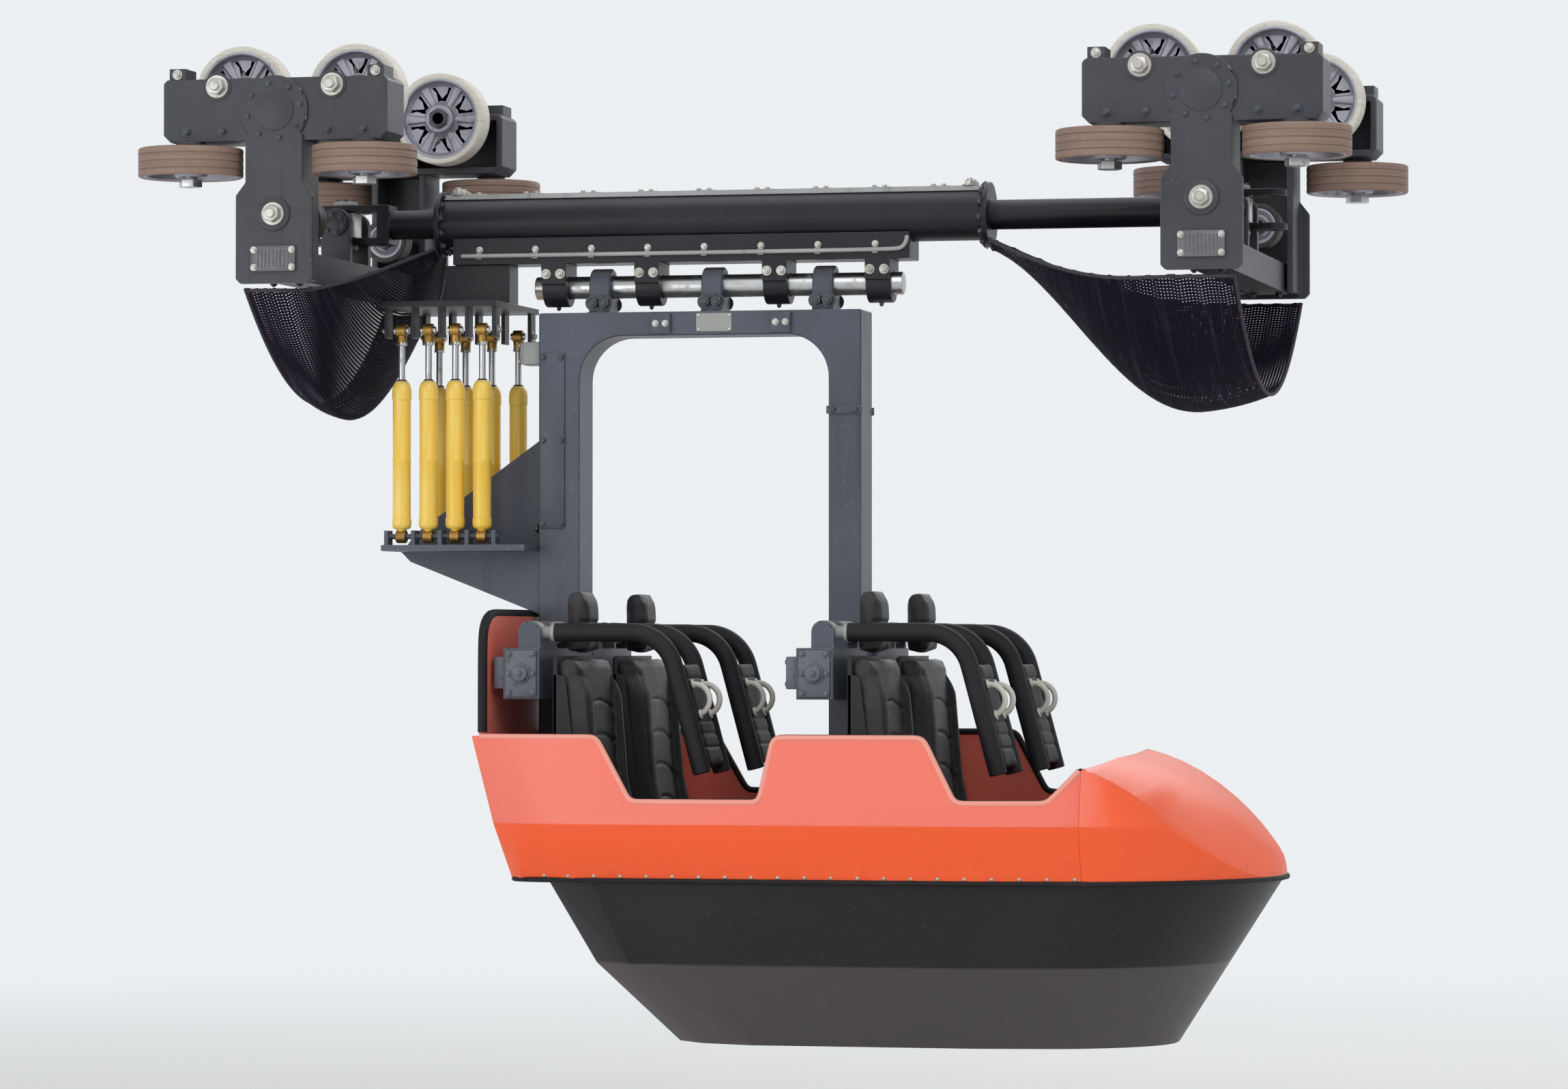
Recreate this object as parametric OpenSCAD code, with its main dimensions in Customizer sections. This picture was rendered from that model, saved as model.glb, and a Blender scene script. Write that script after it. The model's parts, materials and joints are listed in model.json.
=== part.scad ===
// Suspended roller coaster car, hung between its two wheel carriers.
// Origin: middle of the track at the height of the rail tops, halfway between the carriers.
// +X points forward, +Y to the car's left, +Z up. All sizes in millimetres.

/* [Track fit] */
// Diameter of the running rail tube that the wheels are made for
rail_dia = 160; // [120:1:200]
// Distance from the middle of the track to the middle of each rail
rail_half_gauge = 440; // [400:1:520]
// Distance between the two wheel carriers
carrier_pitch = 2750; // [2600:1:3000]

/* [Wheels] */
// Diameter of a road wheel
road_wheel_dia = 285; // [250:1:310]
// Width of a road wheel
road_wheel_width = 90; // [70:1:100]
// Distance between the two road wheels of one side
road_wheel_pitch = 354; // [330:1:400]
// Diameter of a guide wheel
guide_wheel_dia = 310; // [280:1:320]
// Thickness of a guide wheel
guide_wheel_width = 86; // [60:1:90]
// Distance between the two guide wheels of one side
guide_wheel_pitch = 536; // [530:1:600]
// Diameter of an up-stop wheel under the rail
upstop_wheel_dia = 140; // [100:1:150]
// Width of an up-stop wheel
upstop_wheel_width = 70; // [50:1:80]
// Running gap between the up-stop wheel and the rail
upstop_gap = 6; // [3:1:10]
// Diameter of every wheel's axle
axle_dia = 40; // [30:1:50]
// Thickness of a wheel's tread
tread_thickness = 16; // [10:1:22]

/* [Side frames] */
// Length of a side frame's box
side_box_length = 690; // [640:1:760]
// Height of a side frame's box
side_box_height = 186; // [160:1:200]
// Depth of a side frame's box across the track
side_box_depth = 170; // [140:1:190]
// Height of the box's underside above the rail's centre line
side_box_lift = 60; // [55:1:70]
// Plate thickness of the side frames
side_plate = 20; // [14:1:26]
// Running gap between a road wheel and the side frame
wheel_side_gap = 45; // [30:1:60]
// Width of the hanger where it passes between the guide wheels
hanger_neck_width = 176; // [150:1:180]
// Width of the hanger below the guide wheels
hanger_width = 236; // [200:1:260]
// Height of the hanger's foot below the rail tops
hanger_drop = 440; // [420:1:470]
// Height of the cross yoke that joins the two hangers
yoke_height = 90; // [70:1:95]
// Width of the cross yoke along the track
yoke_width = 116; // [90:1:124]

/* [Chassis] */
// Outer diameter of the chassis tube
tube_dia = 152; // [130:1:170]
// Depth of the chassis tube's centre below the rail tops
tube_drop = 220; // [210:1:240]
// Rear end of the wide part of the chassis tube
tube_rear_x = -1055; // [-1070:1:-1050]
// Front end of the wide part of the chassis tube
tube_front_x = 620; // [600:1:700]
// Wall of the chassis tube
tube_wall = 12; // [8:1:16]
// Diameter of the narrow drawbar tubes at both ends
drawbar_dia = 89; // [76:1:96]
// Diameter of the flanges at the ends of the wide tube
flange_dia = 196; // [180:1:210]
// Depth of the swing axis below the rail tops
swing_drop = 420; // [410:1:430]
// Diameter of the swing shaft
swing_shaft_dia = 70; // [60:1:80]
// Width of the beam that carries the swing bearings
beam_width = 140; // [120:1:160]

/* [Carrier joint] */
// Size of the cross block at the middle of each carrier joint
cross_block = 76; // [70:1:80]
// Diameter of the cross block's four trunnions
trunnion_dia = 44; // [36:1:50]
// Width of the fork that holds the upright trunnions
fork_width = 92; // [84:1:96]
// Thickness of each fork plate
fork_plate = 20; // [16:1:24]
// Distance from the carrier joint out to the coupling hole
coupling_reach = 100; // [90:1:120]
// Diameter of the coupling hole
coupling_hole_dia = 40; // [30:1:44]

/* [Swing frame] */
// Centre of the rear leg along the car
rear_leg_x = -678; // [-690:1:-670]
// Width of the rear leg along the car
rear_leg_width = 128; // [110:1:140]
// Centre of the front leg along the car
front_leg_x = 204; // [195:1:215]
// Width of the front leg along the car
front_leg_width = 100; // [90:1:110]
// Depth of both legs across the car
leg_depth = 160; // [140:1:170]
// Top of the crossbar below the rail tops
crossbar_drop = 500; // [498:1:505]
// Height of the crossbar
crossbar_height = 72; // [60:1:80]
// Radius of the arch between a leg and the crossbar
arch_radius = 130; // [100:1:160]

/* [Dampers] */
// Number of dampers in each row
damper_count = 4; // [3:1:4]
// Distance between two dampers of a row
damper_pitch = 84; // [80:1:88]
// Middle of the damper rows along the car
damper_mid_x = -1010; // [-1015:1:-1005]
// Distance of each damper row from the middle of the car
damper_side = 200; // [190:1:210]
// Depth of the upper damper eyes below the rail tops
damper_top_drop = 554; // [550:1:560]
// Depth of the lower damper eyes below the rail tops
damper_foot_drop = 1175; // [1165:1:1185]
// Diameter of a damper's cylinder
damper_dia = 58; // [50:1:62]
// Length of a damper's cylinder
damper_length = 447; // [430:1:455]
// Diameter of a damper's rod
damper_rod_dia = 20; // [16:1:24]
// Thickness of the shelf under the dampers
shelf_plate = 18; // [14:1:22]

/* [Body] */
// Depth of the gunwale below the harness hinge
gunwale_drop = 303; // [295:1:315]
// Depth of the crease along the sides below the harness hinge
crease_drop = 555; // [545:1:565]
// Depth of the belt, where the upper body meets the lower hull, below the harness hinge
belt_drop = 725; // [715:1:735]
// Depth of the chine along the lower hull below the harness hinge
chine_drop = 965; // [955:1:975]
// Depth of the hull's bottom below the harness hinge
hull_drop = 1210; // [1200:1:1225]
// Half of the body's width at its widest, the crease
body_half_width = 748; // [730:1:760]
// Wall thickness of the upper body
shell_wall = 20; // [14:1:24]
// Wall thickness of the lower hull
hull_wall = 20; // [14:1:24]
// Depth of the cut-outs' lower edges below the harness hinge
cutout_drop = 489; // [480:1:495]
// Depth of the floor's upper face below the harness hinge
floor_drop = 1075; // [1065:1:1095]
// Top of the raised panel behind the rear seats, above the harness hinge
rear_panel_rise = 55; // [35:1:65]

/* [Seats] */
// Distance of a seat's middle from the middle of the car
seat_side = 345; // [340:1:350]
// Width of a seat
seat_width = 430; // [400:1:440]
// Depth of the harness hinge below the rail tops
harness_drop = 1465; // [1455:1:1475]
// Distance between the two arms of a harness
harness_arm_pitch = 250; // [230:1:260]
// Diameter of a padded harness arm
harness_arm_dia = 56; // [50:1:60]
// Reach of the straight part of a harness arm
harness_reach = 300; // [290:1:320]
// Radius of the bend in a harness arm
harness_bend = 130; // [110:1:140]

/* [Hidden] */
$fn = 48;
running_gap = 0.05;      // radial clearance of a shaft in its bore
seat_gap = 0.3;          // clearance of a piece seated on a curved or soft neighbour
bearing_gap = 2;         // end clearance beside a turning hub
front_x = carrier_pitch / 2;
rear_x = -carrier_pitch / 2;

rail_r = rail_dia / 2;
rail_z = -rail_r;
axle_r = axle_dia / 2;
road_z = road_wheel_dia / 2;
upstop_z = -rail_dia - upstop_gap - upstop_wheel_dia / 2;
guide_y = rail_half_gauge + rail_r + guide_wheel_dia / 2;
box_inner_y = rail_half_gauge + road_wheel_width / 2 + wheel_side_gap;
box_outer_y = box_inner_y + side_box_depth;
box_z0 = rail_z + side_box_lift;
box_z1 = box_z0 + side_box_height;
hanger_face_y = box_outer_y + 10;
yoke_z0 = -hanger_drop + 12;
yoke_z1 = yoke_z0 + yoke_height;

tube_z = -tube_drop;
tube_r = tube_dia / 2;
tube_flange = 16;
drawbar_r = drawbar_dia / 2;
swing_z = -swing_drop;
shaft_r = swing_shaft_dia / 2;
beam_z1 = tube_z - tube_r + 6;
beam_z0 = swing_z + 70;
bearing_x = [-700, -410, -15, 300];
bearing_length = 76;
knuckle_x = [-560, -212, 130];
knuckle_length = 64;
knuckle_r = 56;
shaft_x0 = bearing_x[0] - bearing_length / 2 - 30;
shaft_x1 = bearing_x[3] + bearing_length / 2 + 30;

cross_half = cross_block / 2;
trunnion_r = trunnion_dia / 2;
fork_gap = bearing_gap;
fork_inner = cross_half + fork_gap;
fork_outer = fork_inner + fork_plate;
lug_inner_y = fork_width / 2 + 34;
lug_thickness = 30;
fork_root = 150;

crossbar_z1 = -crossbar_drop;
crossbar_z0 = crossbar_z1 - crossbar_height;
rear_foot_x = -612;      // rear edge of the rear leg's foot
sill_height = 106;
rear_leg_x0 = rear_leg_x - rear_leg_width / 2;
rear_leg_x1 = rear_leg_x + rear_leg_width / 2;
front_leg_x0 = front_leg_x - front_leg_width / 2;
front_leg_x1 = front_leg_x + front_leg_width / 2;

net_sheet = 8;
net_throat = 60;
net_half_width = hanger_face_y - side_plate / 2;
net_past_hanger = 100;
net_front_x0 = tube_front_x + tube_flange + seat_gap;
net_rear_x0 = tube_rear_x - tube_flange - seat_gap;

damper_top_z = -damper_top_drop;
damper_foot_z = -damper_foot_drop;
damper_r = damper_dia / 2;
damper_eye_r = 20;
damper_eye_width = 30;
damper_pin_r = 8;
damper_body_z0 = damper_foot_z + 23;
damper_body_z1 = damper_body_z0 + damper_length;
damper_half_row = (damper_count - 1) * damper_pitch / 2;
comb_plate = 12;
comb_x0 = damper_mid_x - damper_half_row - damper_pitch / 2;
comb_x1 = damper_mid_x + damper_half_row + damper_pitch / 2;
table_z1 = damper_top_z + 86;
table_z0 = table_z1 - 18;
shelf_z1 = damper_foot_z - 26;
shelf_z0 = shelf_z1 - shelf_plate;

pivot_z = -harness_drop;
gunwale_z = pivot_z - gunwale_drop;
crease_z = pivot_z - crease_drop;
belt_z = pivot_z - belt_drop;
chine_z = pivot_z - chine_drop;
hull_z = pivot_z - hull_drop;
floor_z = pivot_z - floor_drop;
floor_plate = 20;
cutout_z = pivot_z - cutout_drop;
kink_z = gunwale_z - 22;  // height at which the rear leg starts to lean forward
cowl_x = 1018;
nose_length = 494;        // from the cowl's rear edge to the tip of the nose
stern_x = -792;
nose_taper = 300;        // length over which the nose's inner wall draws back from its tip
peak_z = gunwale_z - 92;
crown_z = gunwale_z - 32;
flange_height = 12;
hull_rim = 34;
coaming_reach = 82;      // how far the deck's rear edge lies ahead of the peaks, at the middle

seat_depth = 745;         // from the harness hinge down to a seat's underside
pedestal_x0 = 410;
pedestal_x1 = 560;
pedestal_y0 = 150;
pedestal_y1 = 310;
pivot_x = 30;            // harness hinge ahead of its leg's centre
hinge_r = 16;
hub_r = 34;
hub_width = 50;
harness_turn = 75;       // angle through which an arm bends down
harness_fall = 330;      // length of an arm below its bend
harness_end_x = harness_reach + harness_bend * sin(harness_turn);
harness_end_z = -harness_bend + harness_bend * cos(harness_turn);
post_thickness = 22;
bracket_x0 = -44;
bracket_x1 = 66;

// Along the nose the sections follow an oval: it has turned by 84.6 degrees where the tip is cut off
nose_turns = [for (k = [0 : 12]) 7.05 * k];
// Upper body sections: x at the belt, x at the shoulder, half widths at belt, crease and shoulder,
// heights of crease, shoulder and crown
UPPER = [
    [-674, stern_x, 600, 648, 632, crease_z, gunwale_z, gunwale_z],
    [-640, -640, 640, 714, 704, crease_z, gunwale_z, gunwale_z],
    [-470, -470, 692, body_half_width, 730, crease_z, gunwale_z, gunwale_z],
    [720, 720, 692, body_half_width, 730, crease_z, gunwale_z, gunwale_z],
    each [for (a = nose_turns) upper_nose(a)]
];
coaming_half = UPPER[4][4] - shell_wall;
coaming_r = (coaming_half * coaming_half + coaming_reach * coaming_reach) / (2 * coaming_reach);
// Lower hull sections: x at belt, chine and bottom, half widths at belt, chine and bottom
HULL = [
    [-578, -452, -262, 560, 490, 232],
    [-430, -330, -170, 640, 584, 330],
    [-150, -90, 0, 668, 622, 396],
    [700, 690, 660, 668, 622, 396],
    each [for (a = nose_turns) hull_nose(a)]
];

steel_dark = "#3a3d42";
steel_black = "#1e1f22";
steel_bright = "#b8bcc0";
orange = "#f0592a";
hull_dark = "#3b3434";
yellow = "#f2cf1d";
tan_tread = "#8d7a66";
rubber_black = "#141416";

// Shared shapes

module along_x(x0, x1, y, z, r) {
    translate([x0, y, z])
    rotate([0, 90, 0])
    cylinder(h = x1 - x0, r = r);
}

module along_y(x, y0, y1, z, r) {
    translate([x, y1, z])
    rotate([90, 0, 0])
    cylinder(h = y1 - y0, r = r);
}

module block(x0, x1, y0, y1, z0, z1) {
    translate([x0, y0, z0])
    cube([x1 - x0, y1 - y0, z1 - z0]);
}

// A plate drawn in the XZ plane, from y0 to y1
module side_plate_at(y0, y1) {
    translate([0, y1, 0])
    rotate([90, 0, 0])
    linear_extrude(y1 - y0)
    children();
}

// A closed skin through rings of points, all rings alike in number. The second half of a ring is split
// the other way, so that the two faces of a thin sheet stay parallel, and its ends are closed by a strip
module loft(rings) {
    n = len(rings[0]);
    m = len(rings);
    sides = [for (i = [0 : m - 2]) for (j = [0 : n - 1])
        let (a = i * n + j, b = i * n + (j + 1) % n, c = a + n, d = b + n)
        each j < n / 2 ? [[a, b, d], [a, d, c]] : [[a, b, c], [b, d, c]]];
    strip = [for (j = [0 : ceil(n / 2) - 2])
        each concat([[j, j + 1, n - 1 - j]], j + 1 < n - 2 - j ? [[j + 1, n - 2 - j, n - 1 - j]] : [])];
    first = [for (t = strip) [t[2], t[1], t[0]]];
    last = [for (t = strip) [for (k = t) (m - 1) * n + k]];
    polyhedron(points = [for (ring = rings) each ring], faces = concat(sides, first, last));
}

// A body through convex rings, one bay between each two
module bays(rings) {
    for (i = [0 : len(rings) - 2])
        hull()
        loft([rings[i], rings[i + 1]]);
}

// Body shells

// One ring of the upper body, drawn inwards by inset and down to height low
function upper_ring(s, inset, low, lift) = let (
    rake = (s[1] - s[0]) / (s[6] - belt_z),
    xa = s[0] + rake * (low - belt_z),
    xk = s[0] + rake * (s[5] - belt_z),
    xs = s[1] + rake * lift,
    half = [
        [xa, s[2] - inset, low],
        [xk, s[3] - inset, s[5]],
        [xs, s[4] - inset, s[6] + lift],
        [xs, (s[4] - inset) * 0.55, s[7] + lift - (s[7] - s[6]) * 0.3],
        [xs, 0, s[7] + lift]
    ])
    concat([for (p = half) p], [for (i = [3 : -1 : 0]) [half[i][0], -half[i][1], half[i][2]]]);

function slide_section(s, dx, top) = [for (i = [0 : len(s) - 1]) i < top ? s[i] + dx : s[i]];

// How far along the nose its oval is, after a turn of a
function nose_share(a) = pow(sin(a), 1.25);

// A value that rises from 0 to 1 between start and end
function eased(t, start, end) = let (u = max(0, min(1, (t - start) / (end - start)))) u * u * (3 - 2 * u);

// Section of the upper body on the nose
function upper_nose(a) = let (
    t = nose_share(a),
    x = cowl_x + nose_length * t,
    half = 696 * cos(a),
    shoulder = 1 - pow(1 - pow(t, 1.5), 1.5),
    crown = 0.75 * pow(t, 1.9) + 0.25 * (1 - sqrt(1 - pow(t, 3))))
    [x, x, half * (0.928 + 0.03 * t), half, half * 0.937, crease_z + (belt_z + 14 - crease_z) * eased(t, 0.38, 0.98),
        peak_z + (belt_z + 18 - peak_z) * shoulder, crown_z + (belt_z + 50 - crown_z) * crown];

// Section of the lower hull on the nose
function hull_nose(a) = let (t = nose_share(a), c = cos(a))
    [1000 + 500 * t, 930 + 418 * t, 850 + 342 * t, 626 * c, 570 * c, 360 * c];

// How far a row of the nose's inner wall stands back from its outer wall
function nose_slide(s, wall) = -wall * max(0, min(1, (s[0] - cowl_x) / nose_taper));

module upper_solid() {
    bays([for (s = UPPER) upper_ring(s, 0, belt_z, 0)]);
}

// The space inside the upper body, open at the top behind the cowl
module upper_space() {
    low = belt_z + flange_height;
    open = [for (i = [0 : 4]) i == 0 ? slide_section(UPPER[0], hull_rim, 2) : UPPER[i]];
    bays([for (s = open) upper_ring(s, shell_wall, low, 60)]);
    intersection() {
        bays([for (i = [3 : len(UPPER) - 2]) let (s = UPPER[i])
            upper_ring(slide_section(s, nose_slide(s, shell_wall), 2), min(shell_wall, s[4] - 10),
                min(low, s[5] - 2), -shell_wall)]);
        block(cowl_x - 40, 1600, -900, 900, low, 0);
    }
    intersection() {
        hull_solid(hull_rim, belt_z + 60);
        block(-900, 1600, -900, 900, belt_z - 10, low + 1);
    }
}

function hull_ring(s, inset, top) = let (
    up = (top - belt_z) / (belt_z - chine_z),
    half = [
        [s[2], s[5] - inset, hull_z + inset],
        [s[1], s[4] - inset, chine_z],
        [s[0] + (s[0] - s[1]) * up, s[3] - inset + (s[3] - s[4]) * up, top]
    ])
    concat([for (p = half) p], [for (i = [2 : -1 : 0]) [half[i][0], -half[i][1], half[i][2]]]);

module hull_solid(inset, top) {
    bays([for (s = HULL)
        hull_ring(slide_section(s, s == HULL[0] ? inset : nose_slide(s, inset), 3), min(inset, s[5] - 4), top)]);
}

// The two cut-outs of each side and the open top, as one outline seen from the side
module cutouts() {
    side_plate_at(-900, 900)
    union() {
        polygon([[-391, gunwale_z + 1], [-287, cutout_z], [96, cutout_z], [136, gunwale_z + 1]]);
        polygon([[573, gunwale_z + 1], [668, cutout_z], [928, cutout_z], [cowl_x, peak_z],
            [cowl_x, gunwale_z + 90], [573, gunwale_z + 90]]);
    }
    block(-900, cowl_x, -900, 900, gunwale_z, gunwale_z + 200);
    // The deck's rear edge curves forward to the middle of the cowl
    intersection() {
        block(cowl_x - 1, cowl_x + coaming_reach, -coaming_half, coaming_half, peak_z - 40, gunwale_z);
        translate([cowl_x + coaming_reach - coaming_r, 0, peak_z - 40])
        cylinder(h = 200, r = coaming_r, $fn = 96);
    }
}

module upper_shell() {
    difference() {
        upper_solid();
        upper_space();
        cutouts();
    }
}

module side(half) {
    color(orange)
    intersection() {
        upper_shell();
        block(-900, cowl_x, half > 0 ? 0 : -900, half > 0 ? 900 : 0, belt_z - 1, gunwale_z + 1);
    }
}

module nose_cowl() {
    color(orange)
    intersection() {
        upper_shell();
        block(cowl_x, 1600, -900, 900, belt_z - 1, gunwale_z + 100);
    }
}

module rear_panel() {
    top = pivot_z + rear_panel_rise;
    half = 560;
    corner = 90;
    color(orange)
    translate([stern_x, 0, 0])
    rotate([90, 0, 90])
    linear_extrude(26)
    union() {
        translate([-half, gunwale_z])
        square([2 * half, top - corner - gunwale_z]);
        translate([-half + corner, gunwale_z])
        square([2 * (half - corner), top - gunwale_z]);
        for (side = [-1, 1])
            translate([side * (half - corner), top - corner])
            circle(r = corner);
    }
}

module lower_hull() {
    color(hull_dark)
    difference() {
        hull_solid(0, belt_z);
        hull_solid(hull_wall, belt_z + 40);
    }
}

module floor_pan() {
    color(steel_dark)
    intersection() {
        hull_solid(hull_wall + seat_gap, belt_z);
        block(-520, 1400, -700, 700, floor_z - floor_plate, floor_z);
    }
}

// Seats and harnesses

// Heights in a seat are from the hinge of its harness
module seat(x, y) {
    translate([x, y, pivot_z])
    side_plate_at(-seat_width / 2, seat_width / 2)
    polygon([
        [112, -65], [186, -65], [214, -435], [244, -620], [600, -587], [652, -615],
        [636, -715], [560, -seat_depth], [240, -seat_depth], [150, -695], [112, -535]
    ]);
    // The pedestal stands towards the middle of the car, clear of the hull's rounded side
    translate([x, y > 0 ? pedestal_y0 : -pedestal_y1, 0])
    block(pedestal_x0, pedestal_x1, 0, pedestal_y1 - pedestal_y0, floor_z, pivot_z - seat_depth + 1);
    translate([x, y, pivot_z])
    side_plate_at(-80, 80)
    polygon([[112, -65], [112, 125], [172, 131], [186, -65]]);
}

module seats(x) {
    color(rubber_black)
    for (half = [-1, 1])
        seat(x, half * seat_side);
}

// Cross beam behind one row, with the posts that hold the harness hinges
module harness_bracket(x) {
    inner = leg_depth / 2;
    outer = seat_side + seat_width / 2 - 20;
    beam_top = pivot_z - hub_r - 12;
    color(steel_dark)
    for (half = [-1, 1])
        mirror([0, half < 0 ? 1 : 0, 0]) {
            block(x + bracket_x0, x + bracket_x1, inner, outer, beam_top - 150, beam_top);
            for (side = [-1, 0, 1])
                translate([0, seat_side + side * (harness_arm_pitch / 2 + hub_width / 2 + post_thickness / 2
                    + bearing_gap), 0])
                side_plate_at(-post_thickness / 2, post_thickness / 2)
                union() {
                    translate([x + pivot_x, pivot_z])
                    circle(r = hub_r);
                    translate([x + pivot_x - hub_r, beam_top])
                    square([2 * hub_r, pivot_z - beam_top]);
                }
            along_y(x + pivot_x, seat_side - harness_arm_pitch / 2 - hub_width / 2 - post_thickness - bearing_gap,
                seat_side + harness_arm_pitch / 2 + hub_width / 2 + post_thickness + bearing_gap, pivot_z, hinge_r);
        }
}

// Edge of a harness arm's bend, at distance r from the bend's centre
function bend_edge(r, turns) = [for (a = turns) [harness_reach + r * sin(a), -harness_bend + r * cos(a)]];

// Outline of one harness arm about its hinge: hub, straight stretch, bend and drop
module harness_arm_outline() {
    half = harness_arm_dia / 2;
    steps = 10;
    drop = harness_fall * [cos(harness_turn), -sin(harness_turn)];
    outer = bend_edge(harness_bend + half, [for (i = [0 : steps]) i * harness_turn / steps]);
    inner = bend_edge(harness_bend - half, [for (i = [steps : -1 : 0]) i * harness_turn / steps]);
    circle(r = hub_r);
    polygon(concat([[0, half]], outer, [outer[steps] + drop, inner[0] + drop], inner, [[0, -half]]));
}

module harness(x, y) {
    half = harness_arm_pitch / 2;
    width = hub_width / 2;
    pad = 46;
    grip_r = 46;
    color(rubber_black)
    translate([x + pivot_x, y, pivot_z]) {
        difference() {
            for (side = [-1, 1])
                side_plate_at(side * half - width, side * half + width)
                harness_arm_outline();
            along_y(0, -2 * half, 2 * half, 0, hinge_r + running_gap);
        }
        translate([harness_end_x, 0, harness_end_z])
        rotate([0, harness_turn - 90, 0]) {
            block(-pad / 2, pad / 2, -half + width, half - width, -harness_fall + 8, 10);
            for (side = [-1, 1])
                translate([0, side * 62, 0])
                side_plate_at(-9, 9)
                translate([pad / 2 - 2, -110])
                difference() {
                    circle(r = grip_r + 9);
                    circle(r = grip_r - 9);
                    translate([-200, -100])
                    square([200, 200]);
                }
        }
    }
}

// Swing frame

module swing_shaft() {
    color(steel_bright)
    along_x(shaft_x0, shaft_x1, 0, swing_z, shaft_r);
}

module swing_frame() {
    inner_x0 = rear_leg_x1;
    inner_x1 = front_leg_x0;
    sill_z0 = belt_z + flange_height;
    sill_z1 = sill_z0 + sill_height;
    color(steel_dark)
    difference() {
        union() {
            side_plate_at(-leg_depth / 2, leg_depth / 2)
            union() {
                // Crossbar, the upper part of the rear leg and the whole front leg
                difference() {
                    translate([rear_leg_x0, kink_z])
                    square([front_leg_x1 - rear_leg_x0, crossbar_z1 - kink_z]);
                    translate([inner_x0, kink_z - 1])
                    square([inner_x1 - inner_x0, crossbar_z0 - arch_radius - kink_z + 1]);
                    translate([inner_x0 + arch_radius, crossbar_z0 - arch_radius - 1])
                    square([inner_x1 - inner_x0 - 2 * arch_radius, arch_radius + 1]);
                    for (x = [inner_x0 + arch_radius, inner_x1 - arch_radius])
                        translate([x, crossbar_z0 - arch_radius])
                        circle(r = arch_radius);
                }
                translate([front_leg_x0, floor_z])
                square([front_leg_width, kink_z - floor_z + 1]);
                // The rear leg leans forward inside the raked stern, down to the sill under the seats
                polygon([[rear_leg_x0, kink_z + 1], [rear_leg_x0, kink_z], [rear_foot_x, sill_z0],
                    [front_leg_x0 + 1, sill_z0], [front_leg_x0 + 1, sill_z1], [rear_foot_x + 90, sill_z1],
                    [inner_x0, kink_z - 50], [inner_x0, kink_z + 1]]);
            }
            for (x = knuckle_x) {
                along_x(x - knuckle_length / 2, x + knuckle_length / 2, 0, swing_z, knuckle_r);
                block(x - knuckle_length / 2, x + knuckle_length / 2, -knuckle_r, knuckle_r, crossbar_z1 - 1, swing_z);
            }
        }
        along_x(shaft_x0 - 1, shaft_x1 + 1, 0, swing_z, shaft_r);
    }
}

function damper_x(i) = damper_mid_x - damper_half_row + i * damper_pitch;

// Comb of plates beside the damper eyes of both rows
module damper_combs(z0, z1) {
    for (half = [-1, 1])
        for (i = [0 : damper_count])
            translate([comb_x0 + i * damper_pitch - comb_plate / 2, half * damper_side - 26, z0])
            cube([comb_plate, 52, z1 - z0]);
}

module damper_shelf() {
    reach = damper_side + 40;
    color(steel_dark)
    union() {
        block(comb_x0 - comb_plate, rear_leg_x0, -reach, reach, shelf_z0, shelf_z1);
        damper_combs(shelf_z1, damper_foot_z + 18);
        for (half = [-1, 1])
            along_x(comb_x0 - 10, comb_x1 + 10, half * damper_side, damper_foot_z, damper_pin_r);
        side_plate_at(-11, 11)
        polygon([[rear_leg_x0, shelf_z1 + 330], [rear_leg_x0, shelf_z1], [comb_x0, shelf_z1],
            [comb_x0 + 30, shelf_z1 + 40]]);
        for (half = [-1, 1])
            side_plate_at(half * 60 - 9, half * 60 + 9)
            polygon([[rear_leg_x0, shelf_z0 - 190], [rear_leg_x0, shelf_z0], [comb_x0, shelf_z0],
                [comb_x0 + 30, shelf_z0 - 30]]);
    }
}

module damper_cylinders(half) {
    color(yellow)
    for (i = [0 : damper_count - 1])
        translate([damper_x(i), half * damper_side, 0])
        difference() {
            union() {
                translate([0, 0, damper_body_z0])
                cylinder(h = damper_length - 14, r = damper_r);
                translate([0, 0, damper_body_z0])
                cylinder(h = damper_length, r = damper_r - 7);
                along_x(-damper_eye_width / 2, damper_eye_width / 2, 0, damper_foot_z, damper_eye_r);
                translate([0, 0, damper_foot_z])
                cylinder(h = 30, r = 13);
            }
            along_x(-damper_eye_width, damper_eye_width, 0, damper_foot_z, damper_pin_r + running_gap);
            translate([0, 0, damper_body_z0 + 40])
            cylinder(h = damper_length, r = damper_rod_dia / 2 + running_gap);
        }
}

module damper_rods(half) {
    reach = 190;
    color(steel_bright)
    for (i = [0 : damper_count - 1])
        translate([damper_x(i), half * damper_side, 0])
        union() {
            translate([0, 0, damper_body_z1 - reach])
            cylinder(h = damper_top_z - damper_body_z1 + reach, r = damper_rod_dia / 2);
            along_x(-damper_eye_width / 2, damper_eye_width / 2, 0, damper_top_z, damper_eye_r);
            along_x(-damper_eye_width / 2 - 8, damper_eye_width / 2 + 8, 0, damper_top_z, damper_pin_r + 3);
        }
}

// Chassis

module damper_crosshead() {
    reach = damper_side + 44;
    color(steel_black)
    union() {
        block(comb_x0 - comb_plate, comb_x1 + comb_plate, -reach, reach, table_z0, table_z1);
        damper_combs(damper_top_z - 24, table_z0);
        block(tube_rear_x + 10, comb_x1, -50, 50, table_z1, beam_z0);
    }
}

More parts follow.
